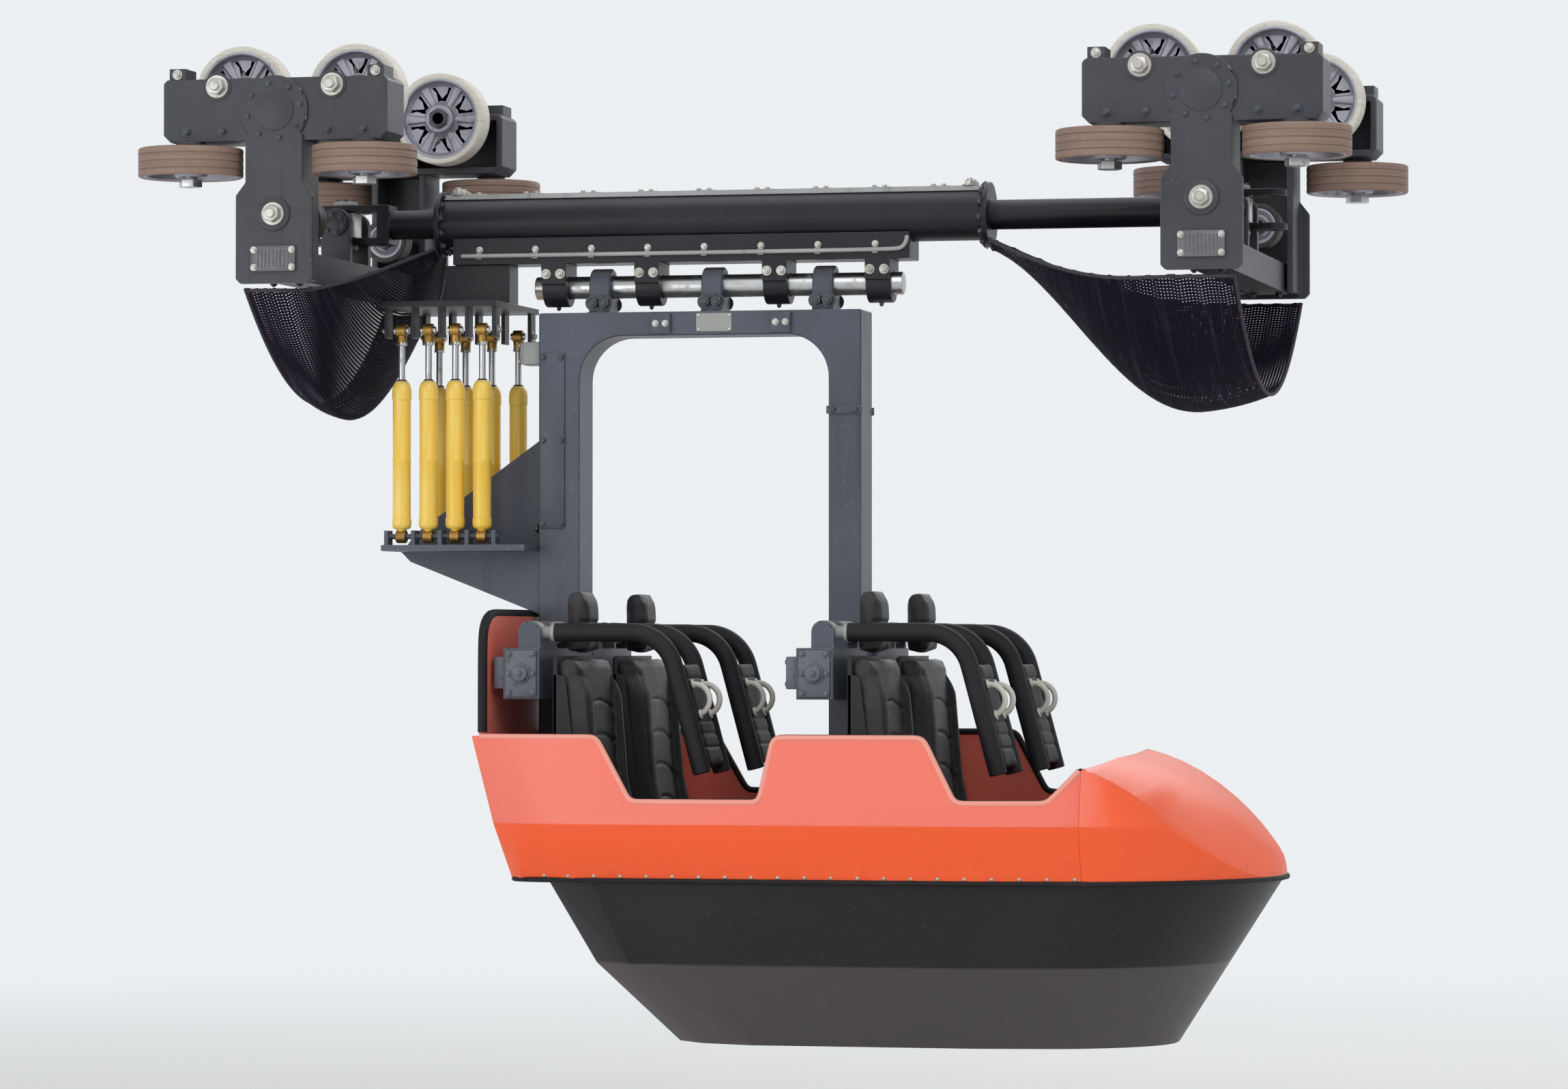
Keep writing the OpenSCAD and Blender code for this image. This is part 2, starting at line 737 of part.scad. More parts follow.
// The fork at one end of the chassis, around the carrier joint at x = 0, reaching out along +X
module fork() {
    difference() {
        union() {
            for (side = [-1, 1])
                translate([0, 0, side * (fork_inner + fork_outer) / 2])
                linear_extrude(fork_plate, center = true)
                union() {
                    translate([-fork_root, -fork_width / 2])
                    square([fork_root + coupling_reach, fork_width]);
                    translate([coupling_reach, 0])
                    circle(r = fork_width / 2);
                }
            block(-fork_root, -fork_root + 40, -fork_width / 2, fork_width / 2, -fork_outer, fork_outer);
        }
        translate([0, 0, -fork_outer - 1])
        cylinder(h = 2 * fork_outer + 2, r = trunnion_r + running_gap);
        translate([coupling_reach, 0, -fork_outer - 1])
        cylinder(h = 2 * fork_outer + 2, r = coupling_hole_dia / 2);
    }
}

module chassis_tube() {
    color(steel_dark)
    union() {
        difference() {
            along_x(tube_rear_x, tube_front_x, 0, tube_z, tube_r);
            along_x(tube_rear_x + 30, tube_front_x - 30, 0, tube_z, tube_r - tube_wall);
        }
        along_x(tube_rear_x - tube_flange, tube_rear_x, 0, tube_z, flange_dia / 2);
        along_x(tube_front_x, tube_front_x + tube_flange, 0, tube_z, flange_dia / 2);
        along_x(tube_front_x + tube_flange, front_x - fork_root, 0, tube_z, drawbar_r);
        along_x(rear_x + fork_root, tube_rear_x - tube_flange, 0, tube_z, drawbar_r);
        translate([front_x, 0, tube_z])
        fork();
        translate([rear_x, 0, tube_z])
        rotate([0, 0, 180])
        fork();
    }
}

module chassis_top_bar() {
    sink = 5;
    color(steel_bright)
    difference() {
        block(tube_rear_x + 4, tube_front_x - 4, -42, 42, tube_z + tube_r - sink, tube_z + tube_r + 10);
        along_x(tube_rear_x - 1, tube_front_x + 1, 0, tube_z, tube_r + seat_gap);
    }
}

module bearing_beam() {
    cap_half = 58;
    color(steel_black)
    difference() {
        union() {
            difference() {
                block(tube_rear_x + 40, 400, -beam_width / 2, beam_width / 2, beam_z0, beam_z1 + 20);
                along_x(tube_rear_x, 500, 0, tube_z, tube_r + seat_gap);
            }
            for (x = bearing_x) {
                along_x(x - bearing_length / 2, x + bearing_length / 2, 0, swing_z, cap_half);
                block(x - bearing_length / 2, x + bearing_length / 2, -cap_half, cap_half, swing_z, beam_z0 + 1);
                block(x - bearing_length / 2, x + bearing_length / 2, -beam_width / 2, beam_width / 2,
                    swing_z + 8, beam_z0);
            }
        }
        along_x(tube_rear_x, 500, 0, swing_z, shaft_r + running_gap);
    }
}

// Wheel carriers

module carrier_cross(x) {
    color(steel_bright)
    translate([x, 0, tube_z])
    union() {
        block(-cross_half, cross_half, -cross_half, cross_half, -cross_half, cross_half);
        translate([0, 0, -fork_outer - 10])
        cylinder(h = 2 * fork_outer + 20, r = trunnion_r);
        along_y(0, -lug_inner_y - lug_thickness - 10, lug_inner_y + lug_thickness + 10, 0, trunnion_r);
    }
}

// Outline of one side frame seen from the side, about the carrier's middle
module hanger_outline() {
    shoulder = 38;
    step_z = rail_z - guide_wheel_width / 2 - 20;
    polygon([
        [-hanger_neck_width / 2, box_z0 + side_plate], [-hanger_neck_width / 2, step_z],
        [-hanger_width / 2, step_z - shoulder], [-hanger_width / 2, -hanger_drop + 14],
        [-hanger_width / 2 + 14, -hanger_drop], [hanger_width / 2 - 14, -hanger_drop],
        [hanger_width / 2, -hanger_drop + 14], [hanger_width / 2, step_z - shoulder],
        [hanger_neck_width / 2, step_z], [hanger_neck_width / 2, box_z0 + side_plate]
    ]);
}

module side_frame() {
    half = side_box_length / 2;
    corner = 22;
    rib_x = hanger_neck_width / 2 - side_plate;
    difference() {
        side_plate_at(box_inner_y, box_outer_y)
        polygon([
            [-half, box_z0 + corner], [-half + corner, box_z0], [half - corner, box_z0], [half, box_z0 + corner],
            [half, box_z1 - corner / 2], [half - corner / 2, box_z1], [-half + corner / 2, box_z1],
            [-half, box_z1 - corner / 2]
        ]);
        for (side = [-1, 1])
            block(side > 0 ? 50 : -half + side_plate, side > 0 ? half - side_plate : -50,
                box_inner_y - 1, box_outer_y - side_plate, box_z0 + side_plate, box_z1 - side_plate);
    }
    for (side = [-1, 1]) {
        along_y(side * road_wheel_pitch / 2, box_inner_y, box_outer_y, road_z - 26, 44);
        block(side * (half - 40) - 26, side * (half - 40) + 26, box_inner_y + 60, box_outer_y - 10, box_z1 - 1, box_z1 + 34);
        block(side > 0 ? rib_x : -rib_x - side_plate, side > 0 ? rib_x + side_plate : -rib_x,
            box_inner_y + 20, hanger_face_y - side_plate, -hanger_drop + 14, box_z0 + 1);
    }
    side_plate_at(hanger_face_y - side_plate - 1, hanger_face_y)
    union() {
        hanger_outline();
        translate([0, (box_z0 + box_z1) / 2 - 4])
        circle(r = 104);
    }
}

module side_frames(x) {
    color(steel_dark)
    translate([x, 0, 0])
    for (half = [-1, 1])
        mirror([0, half < 0 ? 1 : 0, 0])
        side_frame();
}

module yoke(x) {
    end_y = hanger_face_y - side_plate - 1;
    color(steel_dark)
    translate([x, 0, 0])
    difference() {
        union() {
            block(-yoke_width / 2, yoke_width / 2, -end_y, end_y, yoke_z0, yoke_z1);
            for (half = [-1, 1])
                translate([0, half * (lug_inner_y + lug_thickness / 2), 0])
                side_plate_at(-lug_thickness / 2, lug_thickness / 2)
                union() {
                    translate([0, tube_z])
                    circle(r = 46);
                    translate([-46, yoke_z1 - 1])
                    square([92, tube_z - yoke_z1 + 1]);
                }
        }
        along_y(0, -300, 300, tube_z, trunnion_r + running_gap);
    }
}

module axles(x) {
    color(steel_bright)
    translate([x, 0, 0])
    for (half = [-1, 1])
        mirror([0, half < 0 ? 1 : 0, 0]) {
            for (side = [-1, 1]) {
                along_y(side * road_wheel_pitch / 2, rail_half_gauge - road_wheel_width / 2 - 8, box_inner_y,
                    road_z, axle_r);
                along_y(side * road_wheel_pitch / 2, rail_half_gauge + road_wheel_width / 2 + bearing_gap,
                    box_inner_y, road_z, axle_r + 8);
                translate([side * guide_wheel_pitch / 2, guide_y, rail_z - guide_wheel_width / 2 - 26])
                cylinder(h = box_z0 - rail_z + guide_wheel_width / 2 + 26, r = axle_r);
                translate([side * guide_wheel_pitch / 2, guide_y, rail_z - guide_wheel_width / 2 - 28])
                cylinder(h = 24, r = 36, $fn = 6);
            }
            along_y(0, rail_half_gauge - upstop_wheel_width / 2 - 8, hanger_face_y - side_plate - 1, upstop_z, axle_r);
            along_y(0, rail_half_gauge + upstop_wheel_width / 2 + bearing_gap, hanger_face_y - side_plate - 1,
                upstop_z, axle_r + 8);
        }
}

// A wheel about the Z axis: hub, web, rim and tread in one turned profile
module wheel(dia, width) {
    r = dia / 2;
    rim = r - tread_thickness;
    bore = axle_r + running_gap;
    dish = width * 0.22;
    hub = axle_r + (rim - axle_r) * 0.3;
    web = rim - (rim - axle_r) * 0.15;
    half = width / 2;
    rotate_extrude($fn = 64)
    polygon([
        [bore, -half + 2], [hub, -half + 2], [hub + 3, -half + dish],
        [web - 3, -half + dish], [web, -half + 3], [rim, -half + 3],
        [rim + 1, -half], [r - 5, -half], [r, -half + 6],
        [r, half - 6], [r - 5, half], [rim + 1, half],
        [rim, half - 3], [web, half - 3], [web - 3, half - dish],
        [hub + 3, half - dish], [hub, half - 2], [bore, half - 2]
    ]);
}

module road_wheel(x, half, side) {
    color(steel_bright)
    translate([x + side * road_wheel_pitch / 2, half * rail_half_gauge, road_z])
    rotate([90, 0, 0])
    wheel(road_wheel_dia, road_wheel_width);
}

module guide_wheel(x, half, side) {
    color(tan_tread)
    translate([x + side * guide_wheel_pitch / 2, half * guide_y, rail_z])
    wheel(guide_wheel_dia, guide_wheel_width);
}

module upstop_wheel(x, half) {
    color(rubber_black)
    translate([x, half * rail_half_gauge, upstop_z])
    rotate([90, 0, 0])
    wheel(upstop_wheel_dia, upstop_wheel_width);
}

// Net slung under one carrier: a thin hammock from the chassis end to past the hangers.
// Stations: distance, half width, height of the hem, depth of the sag
function net_stations(length, width, hem0, hem1, power) = [for (i = [0 : 12]) let (u = i / 12)
    [u * length, net_throat + (width - net_throat) * sin(90 * min(1, u * 1.25)),
        hem0 + (hem1 - hem0) * sin(90 * min(1, u * 1.5)),
        40 + 340 * pow(sin(90 * min(1, u * 1.3)), power) - 60 * pow(u, 6)]];

module net(x0, length, dir, power) {
    columns = 12;
    stations = net_stations(length, net_half_width, tube_z - 60, -hanger_drop - seat_gap, power);
    color(steel_black)
    translate([x0, 0, 0])
    mirror([dir < 0 ? 1 : 0, 0, 0])
    loft([for (s = stations) concat(
        [for (j = [0 : columns]) let (v = -1 + 2 * j / columns) [s[0], v * s[1], s[2] - s[3] * (1 - v * v)]],
        [for (j = [columns : -1 : 0]) let (v = -1 + 2 * j / columns)
            [s[0], v * s[1], s[2] - s[3] * (1 - v * v) - net_sheet * (1 + v * v)]]
    )]);
}

chassis_tube();
chassis_top_bar();
bearing_beam();
damper_crosshead();
swing_shaft();
swing_frame();
damper_shelf();
damper_cylinders(1);  // damper_cylinders_left
damper_cylinders(-1);  // damper_cylinders_right
damper_rods(1);  // damper_rods_left
damper_rods(-1);  // damper_rods_right
side(1);  // side_left
side(-1);  // side_right
nose_cowl();
rear_panel();
lower_hull();
floor_pan();
seats(front_leg_x);  // seats_front
seats(rear_leg_x);  // seats_rear
harness_bracket(front_leg_x);  // harness_bracket_front
harness_bracket(rear_leg_x);  // harness_bracket_rear
harness(front_leg_x, seat_side);  // harness_front_left
harness(front_leg_x, -seat_side);  // harness_front_right
harness(rear_leg_x, seat_side);  // harness_rear_left
harness(rear_leg_x, -seat_side);  // harness_rear_right
carrier_cross(front_x);  // carrier_cross_front
carrier_cross(rear_x);  // carrier_cross_rear
side_frames(front_x);  // side_frames_front
side_frames(rear_x);  // side_frames_rear
yoke(front_x);  // yoke_front
yoke(rear_x);  // yoke_rear
axles(front_x);  // axles_front
axles(rear_x);  // axles_rear
road_wheel(front_x, 1, 1);  // road_wheel_front_left_1
road_wheel(front_x, 1, -1);  // road_wheel_front_left_2
road_wheel(front_x, -1, 1);  // road_wheel_front_right_1
road_wheel(front_x, -1, -1);  // road_wheel_front_right_2
road_wheel(rear_x, 1, 1);  // road_wheel_rear_left_1
road_wheel(rear_x, 1, -1);  // road_wheel_rear_left_2
road_wheel(rear_x, -1, 1);  // road_wheel_rear_right_1
road_wheel(rear_x, -1, -1);  // road_wheel_rear_right_2
guide_wheel(front_x, 1, 1);  // guide_wheel_front_left_1
guide_wheel(front_x, 1, -1);  // guide_wheel_front_left_2
guide_wheel(front_x, -1, 1);  // guide_wheel_front_right_1
guide_wheel(front_x, -1, -1);  // guide_wheel_front_right_2
guide_wheel(rear_x, 1, 1);  // guide_wheel_rear_left_1
guide_wheel(rear_x, 1, -1);  // guide_wheel_rear_left_2
guide_wheel(rear_x, -1, 1);  // guide_wheel_rear_right_1
guide_wheel(rear_x, -1, -1);  // guide_wheel_rear_right_2
upstop_wheel(front_x, 1);  // upstop_wheel_front_left
upstop_wheel(front_x, -1);  // upstop_wheel_front_right
upstop_wheel(rear_x, 1);  // upstop_wheel_rear_left
upstop_wheel(rear_x, -1);  // upstop_wheel_rear_right
net(net_front_x0, front_x + net_past_hanger - net_front_x0, 1, 2);  // net_front
net(net_rear_x0, net_rear_x0 - rear_x + net_past_hanger, -1, 4);  // net_rear
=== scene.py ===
import json
import math
import bpy
from mathutils import Matrix, Vector
from mathutils.bvhtree import BVHTree

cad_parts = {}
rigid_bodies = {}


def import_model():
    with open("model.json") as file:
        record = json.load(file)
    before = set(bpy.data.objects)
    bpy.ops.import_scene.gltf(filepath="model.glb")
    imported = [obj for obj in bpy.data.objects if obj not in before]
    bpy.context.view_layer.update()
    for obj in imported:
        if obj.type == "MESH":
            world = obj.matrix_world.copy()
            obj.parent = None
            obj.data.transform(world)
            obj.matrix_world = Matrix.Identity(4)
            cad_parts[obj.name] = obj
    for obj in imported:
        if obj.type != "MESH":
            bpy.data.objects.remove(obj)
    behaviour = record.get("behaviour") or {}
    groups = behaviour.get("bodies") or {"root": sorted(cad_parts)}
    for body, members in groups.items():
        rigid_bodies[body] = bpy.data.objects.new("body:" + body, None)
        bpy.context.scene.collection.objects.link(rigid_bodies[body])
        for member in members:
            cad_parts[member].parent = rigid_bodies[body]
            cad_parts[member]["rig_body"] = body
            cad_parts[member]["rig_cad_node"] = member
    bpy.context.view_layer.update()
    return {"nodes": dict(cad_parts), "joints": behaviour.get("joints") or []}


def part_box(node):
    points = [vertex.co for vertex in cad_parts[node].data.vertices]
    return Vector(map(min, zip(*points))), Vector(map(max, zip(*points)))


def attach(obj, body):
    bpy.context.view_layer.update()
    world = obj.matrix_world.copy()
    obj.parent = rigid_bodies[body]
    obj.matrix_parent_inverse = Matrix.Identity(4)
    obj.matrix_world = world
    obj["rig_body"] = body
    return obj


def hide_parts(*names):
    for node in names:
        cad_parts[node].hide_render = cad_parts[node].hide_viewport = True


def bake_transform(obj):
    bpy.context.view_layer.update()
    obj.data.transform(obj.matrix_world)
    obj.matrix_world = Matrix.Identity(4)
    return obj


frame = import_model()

print("frame loaded:", len(frame["nodes"]), "nodes")

ends = {"front": 1, "rear": -1}
sides = {"left": 1, "right": -1}
cleaning = {"joinWithin": 0.00005, "spinJoin": 0.00002, "flatWithin": 1, "crease": 35, "cornerWeight": 80}


# what every piece is made with

def clearSelection():
    if bpy.context.mode != "OBJECT":
        bpy.ops.object.mode_set(mode="OBJECT")
    bpy.ops.object.select_all(action="DESELECT")


def activate(*objs):
    clearSelection()
    for obj in objs:
        obj.select_set(True)
    bpy.context.view_layer.objects.active = objs[0]
    return objs[0]


def newObject(name, data):
    obj = bpy.data.objects.new(name, data)
    bpy.context.scene.collection.objects.link(obj)
    return obj


def named(obj, name):
    obj.name = name
    obj.data.name = name
    return obj


def freeze(obj, name):
    activate(obj)
    bpy.ops.object.transform_apply(location=True, rotation=True, scale=True)
    return named(obj, name)


def editAll(obj):
    activate(obj)
    bpy.ops.object.mode_set(mode="EDIT")
    bpy.ops.mesh.select_all(action="SELECT")


def editFaces(obj, test):
    # opens edit mode with the faces selected whose middle and normal pass the test
    activate(obj)
    bpy.ops.object.mode_set(mode="EDIT")
    bpy.ops.mesh.select_mode(type="FACE")
    bpy.ops.mesh.select_all(action="DESELECT")
    bpy.ops.object.mode_set(mode="OBJECT")
    for face in obj.data.polygons:
        face.select = test(face.center, face.normal)
    bpy.ops.object.mode_set(mode="EDIT")


def closeEdit():
    bpy.ops.object.mode_set(mode="OBJECT")


def applyModifier(obj, kind, **settings):
    activate(obj)
    modifier = obj.modifiers.new(kind.lower(), kind)
    for key, value in settings.items():
        setattr(modifier, key, value)
    bpy.ops.object.modifier_apply(modifier=modifier.name)
    return obj


def roundEdges(obj, width, segments=2, angle=cleaning["crease"]):
    return applyModifier(obj, "BEVEL", width=width, segments=segments, limit_method="ANGLE",
                         angle_limit=math.radians(angle), use_clamp_overlap=False, miter_outer="MITER_ARC")


def smooth(obj, angle=cleaning["crease"]):
    activate(obj)
    bpy.ops.object.shade_smooth_by_angle(angle=math.radians(angle))
    return obj


def weighted(obj):
    # keeps big flat faces flat in their shading, beside their rounded edges
    return applyModifier(obj, "WEIGHTED_NORMAL", keep_sharp=True, weight=cleaning["cornerWeight"])


def paint(obj, look):
    obj.data.materials.clear()
    obj.data.materials.append(look)
    return obj


def finishPiece(obj, look, slot, body, *stoodFor):
    paint(obj, look)
    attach(obj, body)
    if stoodFor:
        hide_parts(*stoodFor)
    return obj


def box(name, corner, opposite, edge=0.0, segments=2):
    # a box between two corners, with its edges rounded
    clearSelection()
    bpy.ops.mesh.primitive_cube_add(size=1, location=[(a + b) / 2 for a, b in zip(corner, opposite)])
    obj = bpy.context.object
    obj.scale = [abs(b - a) for a, b in zip(corner, opposite)]
    freeze(obj, name)
    return roundEdges(obj, edge, segments) if edge else obj


def rod(name, start, end, radius, vertices=32):
    clearSelection()
    a, b = Vector(start), Vector(end)
    bpy.ops.mesh.primitive_cylinder_add(vertices=vertices, radius=radius, depth=(b - a).length,
                                        location=(a + b) / 2)
    obj = bpy.context.object
    obj.rotation_mode = "QUATERNION"
    obj.rotation_quaternion = (b - a).to_track_quat("Z", "Y")
    return freeze(obj, name)


def disc(name, centre, axis, radius, thickness, edge=0.002):
    # a round plate standing on a face
    a = Vector(centre)
    return roundEdges(rod(name, a, a + Vector(axis).normalized() * thickness, radius, 40), edge)


def turned(name, profile, steps=64):
    # a profile of (radius, height) spun round the Z axis
    mesh = bpy.data.meshes.new(name)
    count = len(profile)
    mesh.from_pydata([(r, 0, z) for r, z in profile], [(i, (i + 1) % count) for i in range(count)], [])
    obj = newObject(name, mesh)
    editAll(obj)
    bpy.ops.mesh.spin(steps=steps, angle=2 * math.pi, center=(0, 0, 0), axis=(0, 0, 1))
    bpy.ops.mesh.select_all(action="SELECT")
    bpy.ops.mesh.remove_doubles(threshold=cleaning["spinJoin"])
    bpy.ops.mesh.normals_make_consistent(inside=False)
    closeEdit()
    return obj


def extruded(name, outline, y0, y1):
    # an outline of (x, z) drawn through from y0 to y1
    mesh = bpy.data.meshes.new(name)
    mesh.from_pydata([(x, y0, z) for x, z in outline], [], [list(range(len(outline)))])
    obj = newObject(name, mesh)
    editFaces(obj, lambda place, normal: True)
    bpy.ops.mesh.extrude_region_move(TRANSFORM_OT_translate={"value": (0, y1 - y0, 0)})
    bpy.ops.mesh.select_all(action="SELECT")
    bpy.ops.mesh.normals_make_consistent(inside=False)
    closeEdit()
    return obj


def tube(name, points, radius, resolution=4):
    # a round bar or rope along points in metres
    curve = bpy.data.curves.new(name, "CURVE")
    curve.dimensions = "3D"
    curve.bevel_depth = radius
    curve.bevel_resolution = resolution
    curve.use_fill_caps = True
    curve.resolution_u = 6
    spline = curve.splines.new("NURBS")
    spline.points.add(len(points) - 1)
    for place, point in zip(spline.points, points):
        place.co = (*point, 1)
    spline.use_endpoint_u = True
    spline.order_u = 4
    activate(newObject(name, curve))
    bpy.ops.object.convert(target="MESH")
    return bpy.context.object


def copyOf(obj, name):
    twin = obj.copy()
    twin.data = obj.data.copy()
    bpy.context.scene.collection.objects.link(twin)
    return named(twin, name)


def joined(name, parts):
    activate(*parts)
    if len(parts) > 1:
        bpy.ops.object.join()
    return named(bpy.context.object, name)


def drop(*objs):
    for obj in objs:
        bpy.data.objects.remove(obj)


def moved(obj, offset):
    obj.data.transform(Matrix.Translation(offset))
    return obj


def spread(template, name, places):
    # copies of a piece that points along +Z, one per (place, direction, turn)
    parts = []
    for index, (place, direction, turn) in enumerate(places):
        twin = copyOf(template, f"{name}_{index}")
        aim = Vector(direction).to_track_quat("Z", "Y").to_matrix().to_4x4()
        twin.data.transform(Matrix.Translation(place) @ aim @ Matrix.Rotation(turn, 4, "Z"))
        parts.append(twin)
    return joined(name, parts)


def fixed(template, direction, xs, ys, zs, turn=0.2):
    # the same fastener at every place that the values along X, Y and Z make together, all pointing one way
    xs, ys, zs = [values if isinstance(values, tuple) else (values,) for values in (xs, ys, zs)]
    places = [(x, y, z) for x in xs for y in ys for z in zs]
    return spread(template, template.name + "s", [(place, direction, turn) for place in places])


def ringPlaces(centre, axis, radius, count, start=0.0):
    # places round a circle, for spread
    axis = Vector(axis).normalized()
    side = axis.orthogonal().normalized()
    up = axis.cross(side)
    turns = [start + 2 * math.pi * i / count for i in range(count)]
    return [(Vector(centre) + radius * (math.cos(a) * side + math.sin(a) * up), axis, a) for a in turns]


def softCopy(node, name, width, segments=2, angle=35, flat=True):
    # a clean copy of a CAD node with its edges rounded; with flat off, faces with holes stay as triangles
    obj = copyOf(frame["nodes"][node], name)
    obj.parent = None
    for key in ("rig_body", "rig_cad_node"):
        if key in obj:
            del obj[key]
    activate(obj)
    if obj.data.has_custom_normals:
        bpy.ops.mesh.customdata_custom_splitnormals_clear()
    editAll(obj)
    bpy.ops.mesh.remove_doubles(threshold=cleaning["joinWithin"])
    if flat:
        bpy.ops.mesh.dissolve_limited(angle_limit=math.radians(cleaning["flatWithin"]))
    closeEdit()
    if width:
        roundEdges(obj, width, segments, angle)
    return smooth(obj)


def low(node):
    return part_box(node)[0]


def high(node):
    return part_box(node)[1]


def middle(node):
    return (low(node) + high(node)) / 2


anchors = {joint["name"]: Vector(joint["pos_m"]) for joint in frame["joints"] if "pos_m" in joint}
swingAxis = anchors["swing"]
carrierX = {end: middle(f"yoke_{end}").x for end in ends}
drawbarZ = anchors["carrier_yaw_front"].z


# shader maths

class Wire:
    # a node's output: sums on it add Math nodes, and node() adds any other node
    def __init__(self, tree, socket=None):
        self.tree = tree
        self.socket = socket

    def node(self, kind, settings=None, inputs=None, output=0):
        made = self.tree.nodes.new("ShaderNode" + kind)
        for key, value in (settings or {}).items():
            setattr(made, key, value)
        for key, value in (inputs or {}).items():
            socket = self.find(made.inputs, key)
            if isinstance(value, Wire):
                self.tree.links.new(value.socket, socket)
            else:
                socket.default_value = value
        return Wire(self.tree, self.find(made.outputs, output)) if made.outputs else None

    def find(self, sockets, key):
        if isinstance(key, int):
            return sockets[key]
        return next(socket for socket in sockets if key in (socket.identifier, socket.name))

    def maths(self, operation, *values, clamp=False):
        return self.node("Math", {"operation": operation, "use_clamp": clamp}, dict(enumerate(values)))

    def __add__(self, other):
        return self.maths("ADD", self, other)

    def __radd__(self, other):
        return self.maths("ADD", other, self)

    def __sub__(self, other):
        return self.maths("SUBTRACT", self, other)

    def __rsub__(self, other):
        return self.maths("SUBTRACT", other, self)

    def __mul__(self, other):
        return self.maths("MULTIPLY", self, other)

    def __rmul__(self, other):
        return self.maths("MULTIPLY", other, self)

    def __pow__(self, other):
        return self.maths("POWER", self, other)

    def clamp(self):
        return self.maths("ADD", self, 0.0, clamp=True)

    def between(self, start, end):
        # 0 at start, 1 at end, smooth between
        return self.node("MapRange", {"interpolation_type": "SMOOTHSTEP"},
                         {"Value": self, "From Min": start, "From Max": end})

    def tint(self, first, second):
        # this wire as the share of the second colour
        return self.node("Mix", {"data_type": "RGBA"},
                         {"Factor_Float": self, "A_Color": first, "B_Color": second}, "Result_Color")

    def noise(self, scale, detail=3.0, roughness=0.55, distortion=0.0):
        return self.node("TexNoise", {}, {"Vector": self, "Scale": scale, "Detail": detail,
                                          "Roughness": roughness, "Distortion": distortion}, "Fac")

    def stretched(self, scale):
        # the same place, stretched along one or two axes
        return self.node("Mapping", {}, {"Vector": self, "Scale": scale}, "Vector")

    def axis(self, letter):
        return self.node("SeparateXYZ", {}, {"Vector": self}, letter)

    def bump(self, strength, distance):
        return self.node("Bump", {}, {"Height": self, "Strength": strength, "Distance": distance}, "Normal")


def shade(code):
    # a colour written as on screen, as Blender's linear numbers
    parts = [int(code[i:i + 2], 16) / 255 for i in (0, 2, 4)]
    return (*[c / 12.92 if c <= 0.04045 else ((c + 0.055) / 1.055) ** 2.4 for c in parts], 1.0)


def newLook(name, coordinate="Object"):
    # an empty material, and the place on the piece that its nodes read
    material = bpy.data.materials.new(name)
    material.use_nodes = True
    material.node_tree.nodes.clear()
    return material, Wire(material.node_tree).node("TexCoord", output=coordinate)


def finishLook(material, sockets):
    start = Wire(material.node_tree)
    surface = start.node("BsdfPrincipled", {}, sockets, "BSDF")
    start.node("OutputMaterial", {}, {"Surface": surface})
    return material


wearAndHighlightEdges = {"samples": 4, "width": 0.004, "grainMiddle": 0.62, "grainGain": 1.6}
dirt = {"runs": "1a1613", "upFrom": 0.35, "upTo": 0.95}


def edgeWearAndHighlight(place, gain, grain=None):
    # 1 along sharp edges, broken up by a grain: where paint is worn, and where an edge highlight is painted
    rounded = place.node("Bevel", {"samples": wearAndHighlightEdges["samples"]}, {"Radius": wearAndHighlightEdges["width"]}, "Normal")
    flat = place.node("NewGeometry", output="Normal")
    alike = place.node("VectorMath", {"operation": "DOT_PRODUCT"}, {0: rounded, 1: flat}, "Value")
    bare = (1 - alike) * gain
    return (bare + (grain - wearAndHighlightEdges["grainMiddle"]) * wearAndHighlightEdges["grainGain"] if grain else bare).clamp()


def upward(place):
    # 1 where a face looks up
    return place.node("NewGeometry", output="Normal").axis("Z").between(dirt["upFrom"], dirt["upTo"])


def paintedSteel(name, paintCode, fadedCode, wearAndHighlightCode, dustAndSheenCode, roughness, wearAndHighlight=3.0, grime=0.4, coat=0.1,
                 gloss=0.4):
    # paint over plate: patches of fade, chipped edges that also carry a painted edge highlight, dust on top
    # that on the tube paint is a painted sky reflection, and run-down dirt
    material, place = newLook(name)
    patches = place.noise(2.6, 5.0)
    grain = place.noise(70.0, 4.0)
    runs = place.stretched((26.0, 26.0, 1.6)).noise(1.0, 4.0)
    base = patches.between(0.35, 0.7).tint(shade(paintCode), shade(fadedCode))
    dirty = (runs.between(0.55, 0.8) * grime).tint(base, shade(dirt["runs"]))
    # dust on faces that look up; on the tube paint this pale top tone is a painted sky reflection
    dustAndSheen = (upward(place) * (0.35 + patches * 0.5)).tint(dirty, shade(dustAndSheenCode))
    # chipped edges, lighter also as a painted highlight along them
    chipsAndHighlight = edgeWearAndHighlight(place, wearAndHighlight, grain)
    height = place.noise(420.0, 2.0) * 0.35 + grain * 0.65 - chipsAndHighlight * 0.8
    return finishLook(material, {
        "Base Color": chipsAndHighlight.tint(dustAndSheen, shade(wearAndHighlightCode)), "Metallic": chipsAndHighlight * 0.5,
        "Roughness": roughness + (patches - 0.5) * 0.25 + upward(place) * 0.25 - chipsAndHighlight * 0.12,
        "Specular IOR Level": gloss, "Coat Weight": coat, "Coat Roughness": 0.3,
        "Normal": height.bump(0.22, 0.0012)})


def machinedSteel(name, colourCode, stainCode, roughness, metallic=1.0):
    # turned or plated metal with fine tool marks and a little stain
    material, place = newLook(name)
    cloud = place.noise(9.0, 4.0)
    grease = place.noise(34.0, 5.0).between(0.52, 0.75)
    colour = (cloud * 0.5 + grease * 0.35).clamp().tint(shade(colourCode), shade(stainCode))
    return finishLook(material, {
        "Base Color": colour, "Roughness": roughness + cloud * 0.15 + grease * 0.2,
        "Metallic": metallic - grease * 0.35, "Normal": place.noise(650.0, 2.0).bump(0.12, 0.0004)})


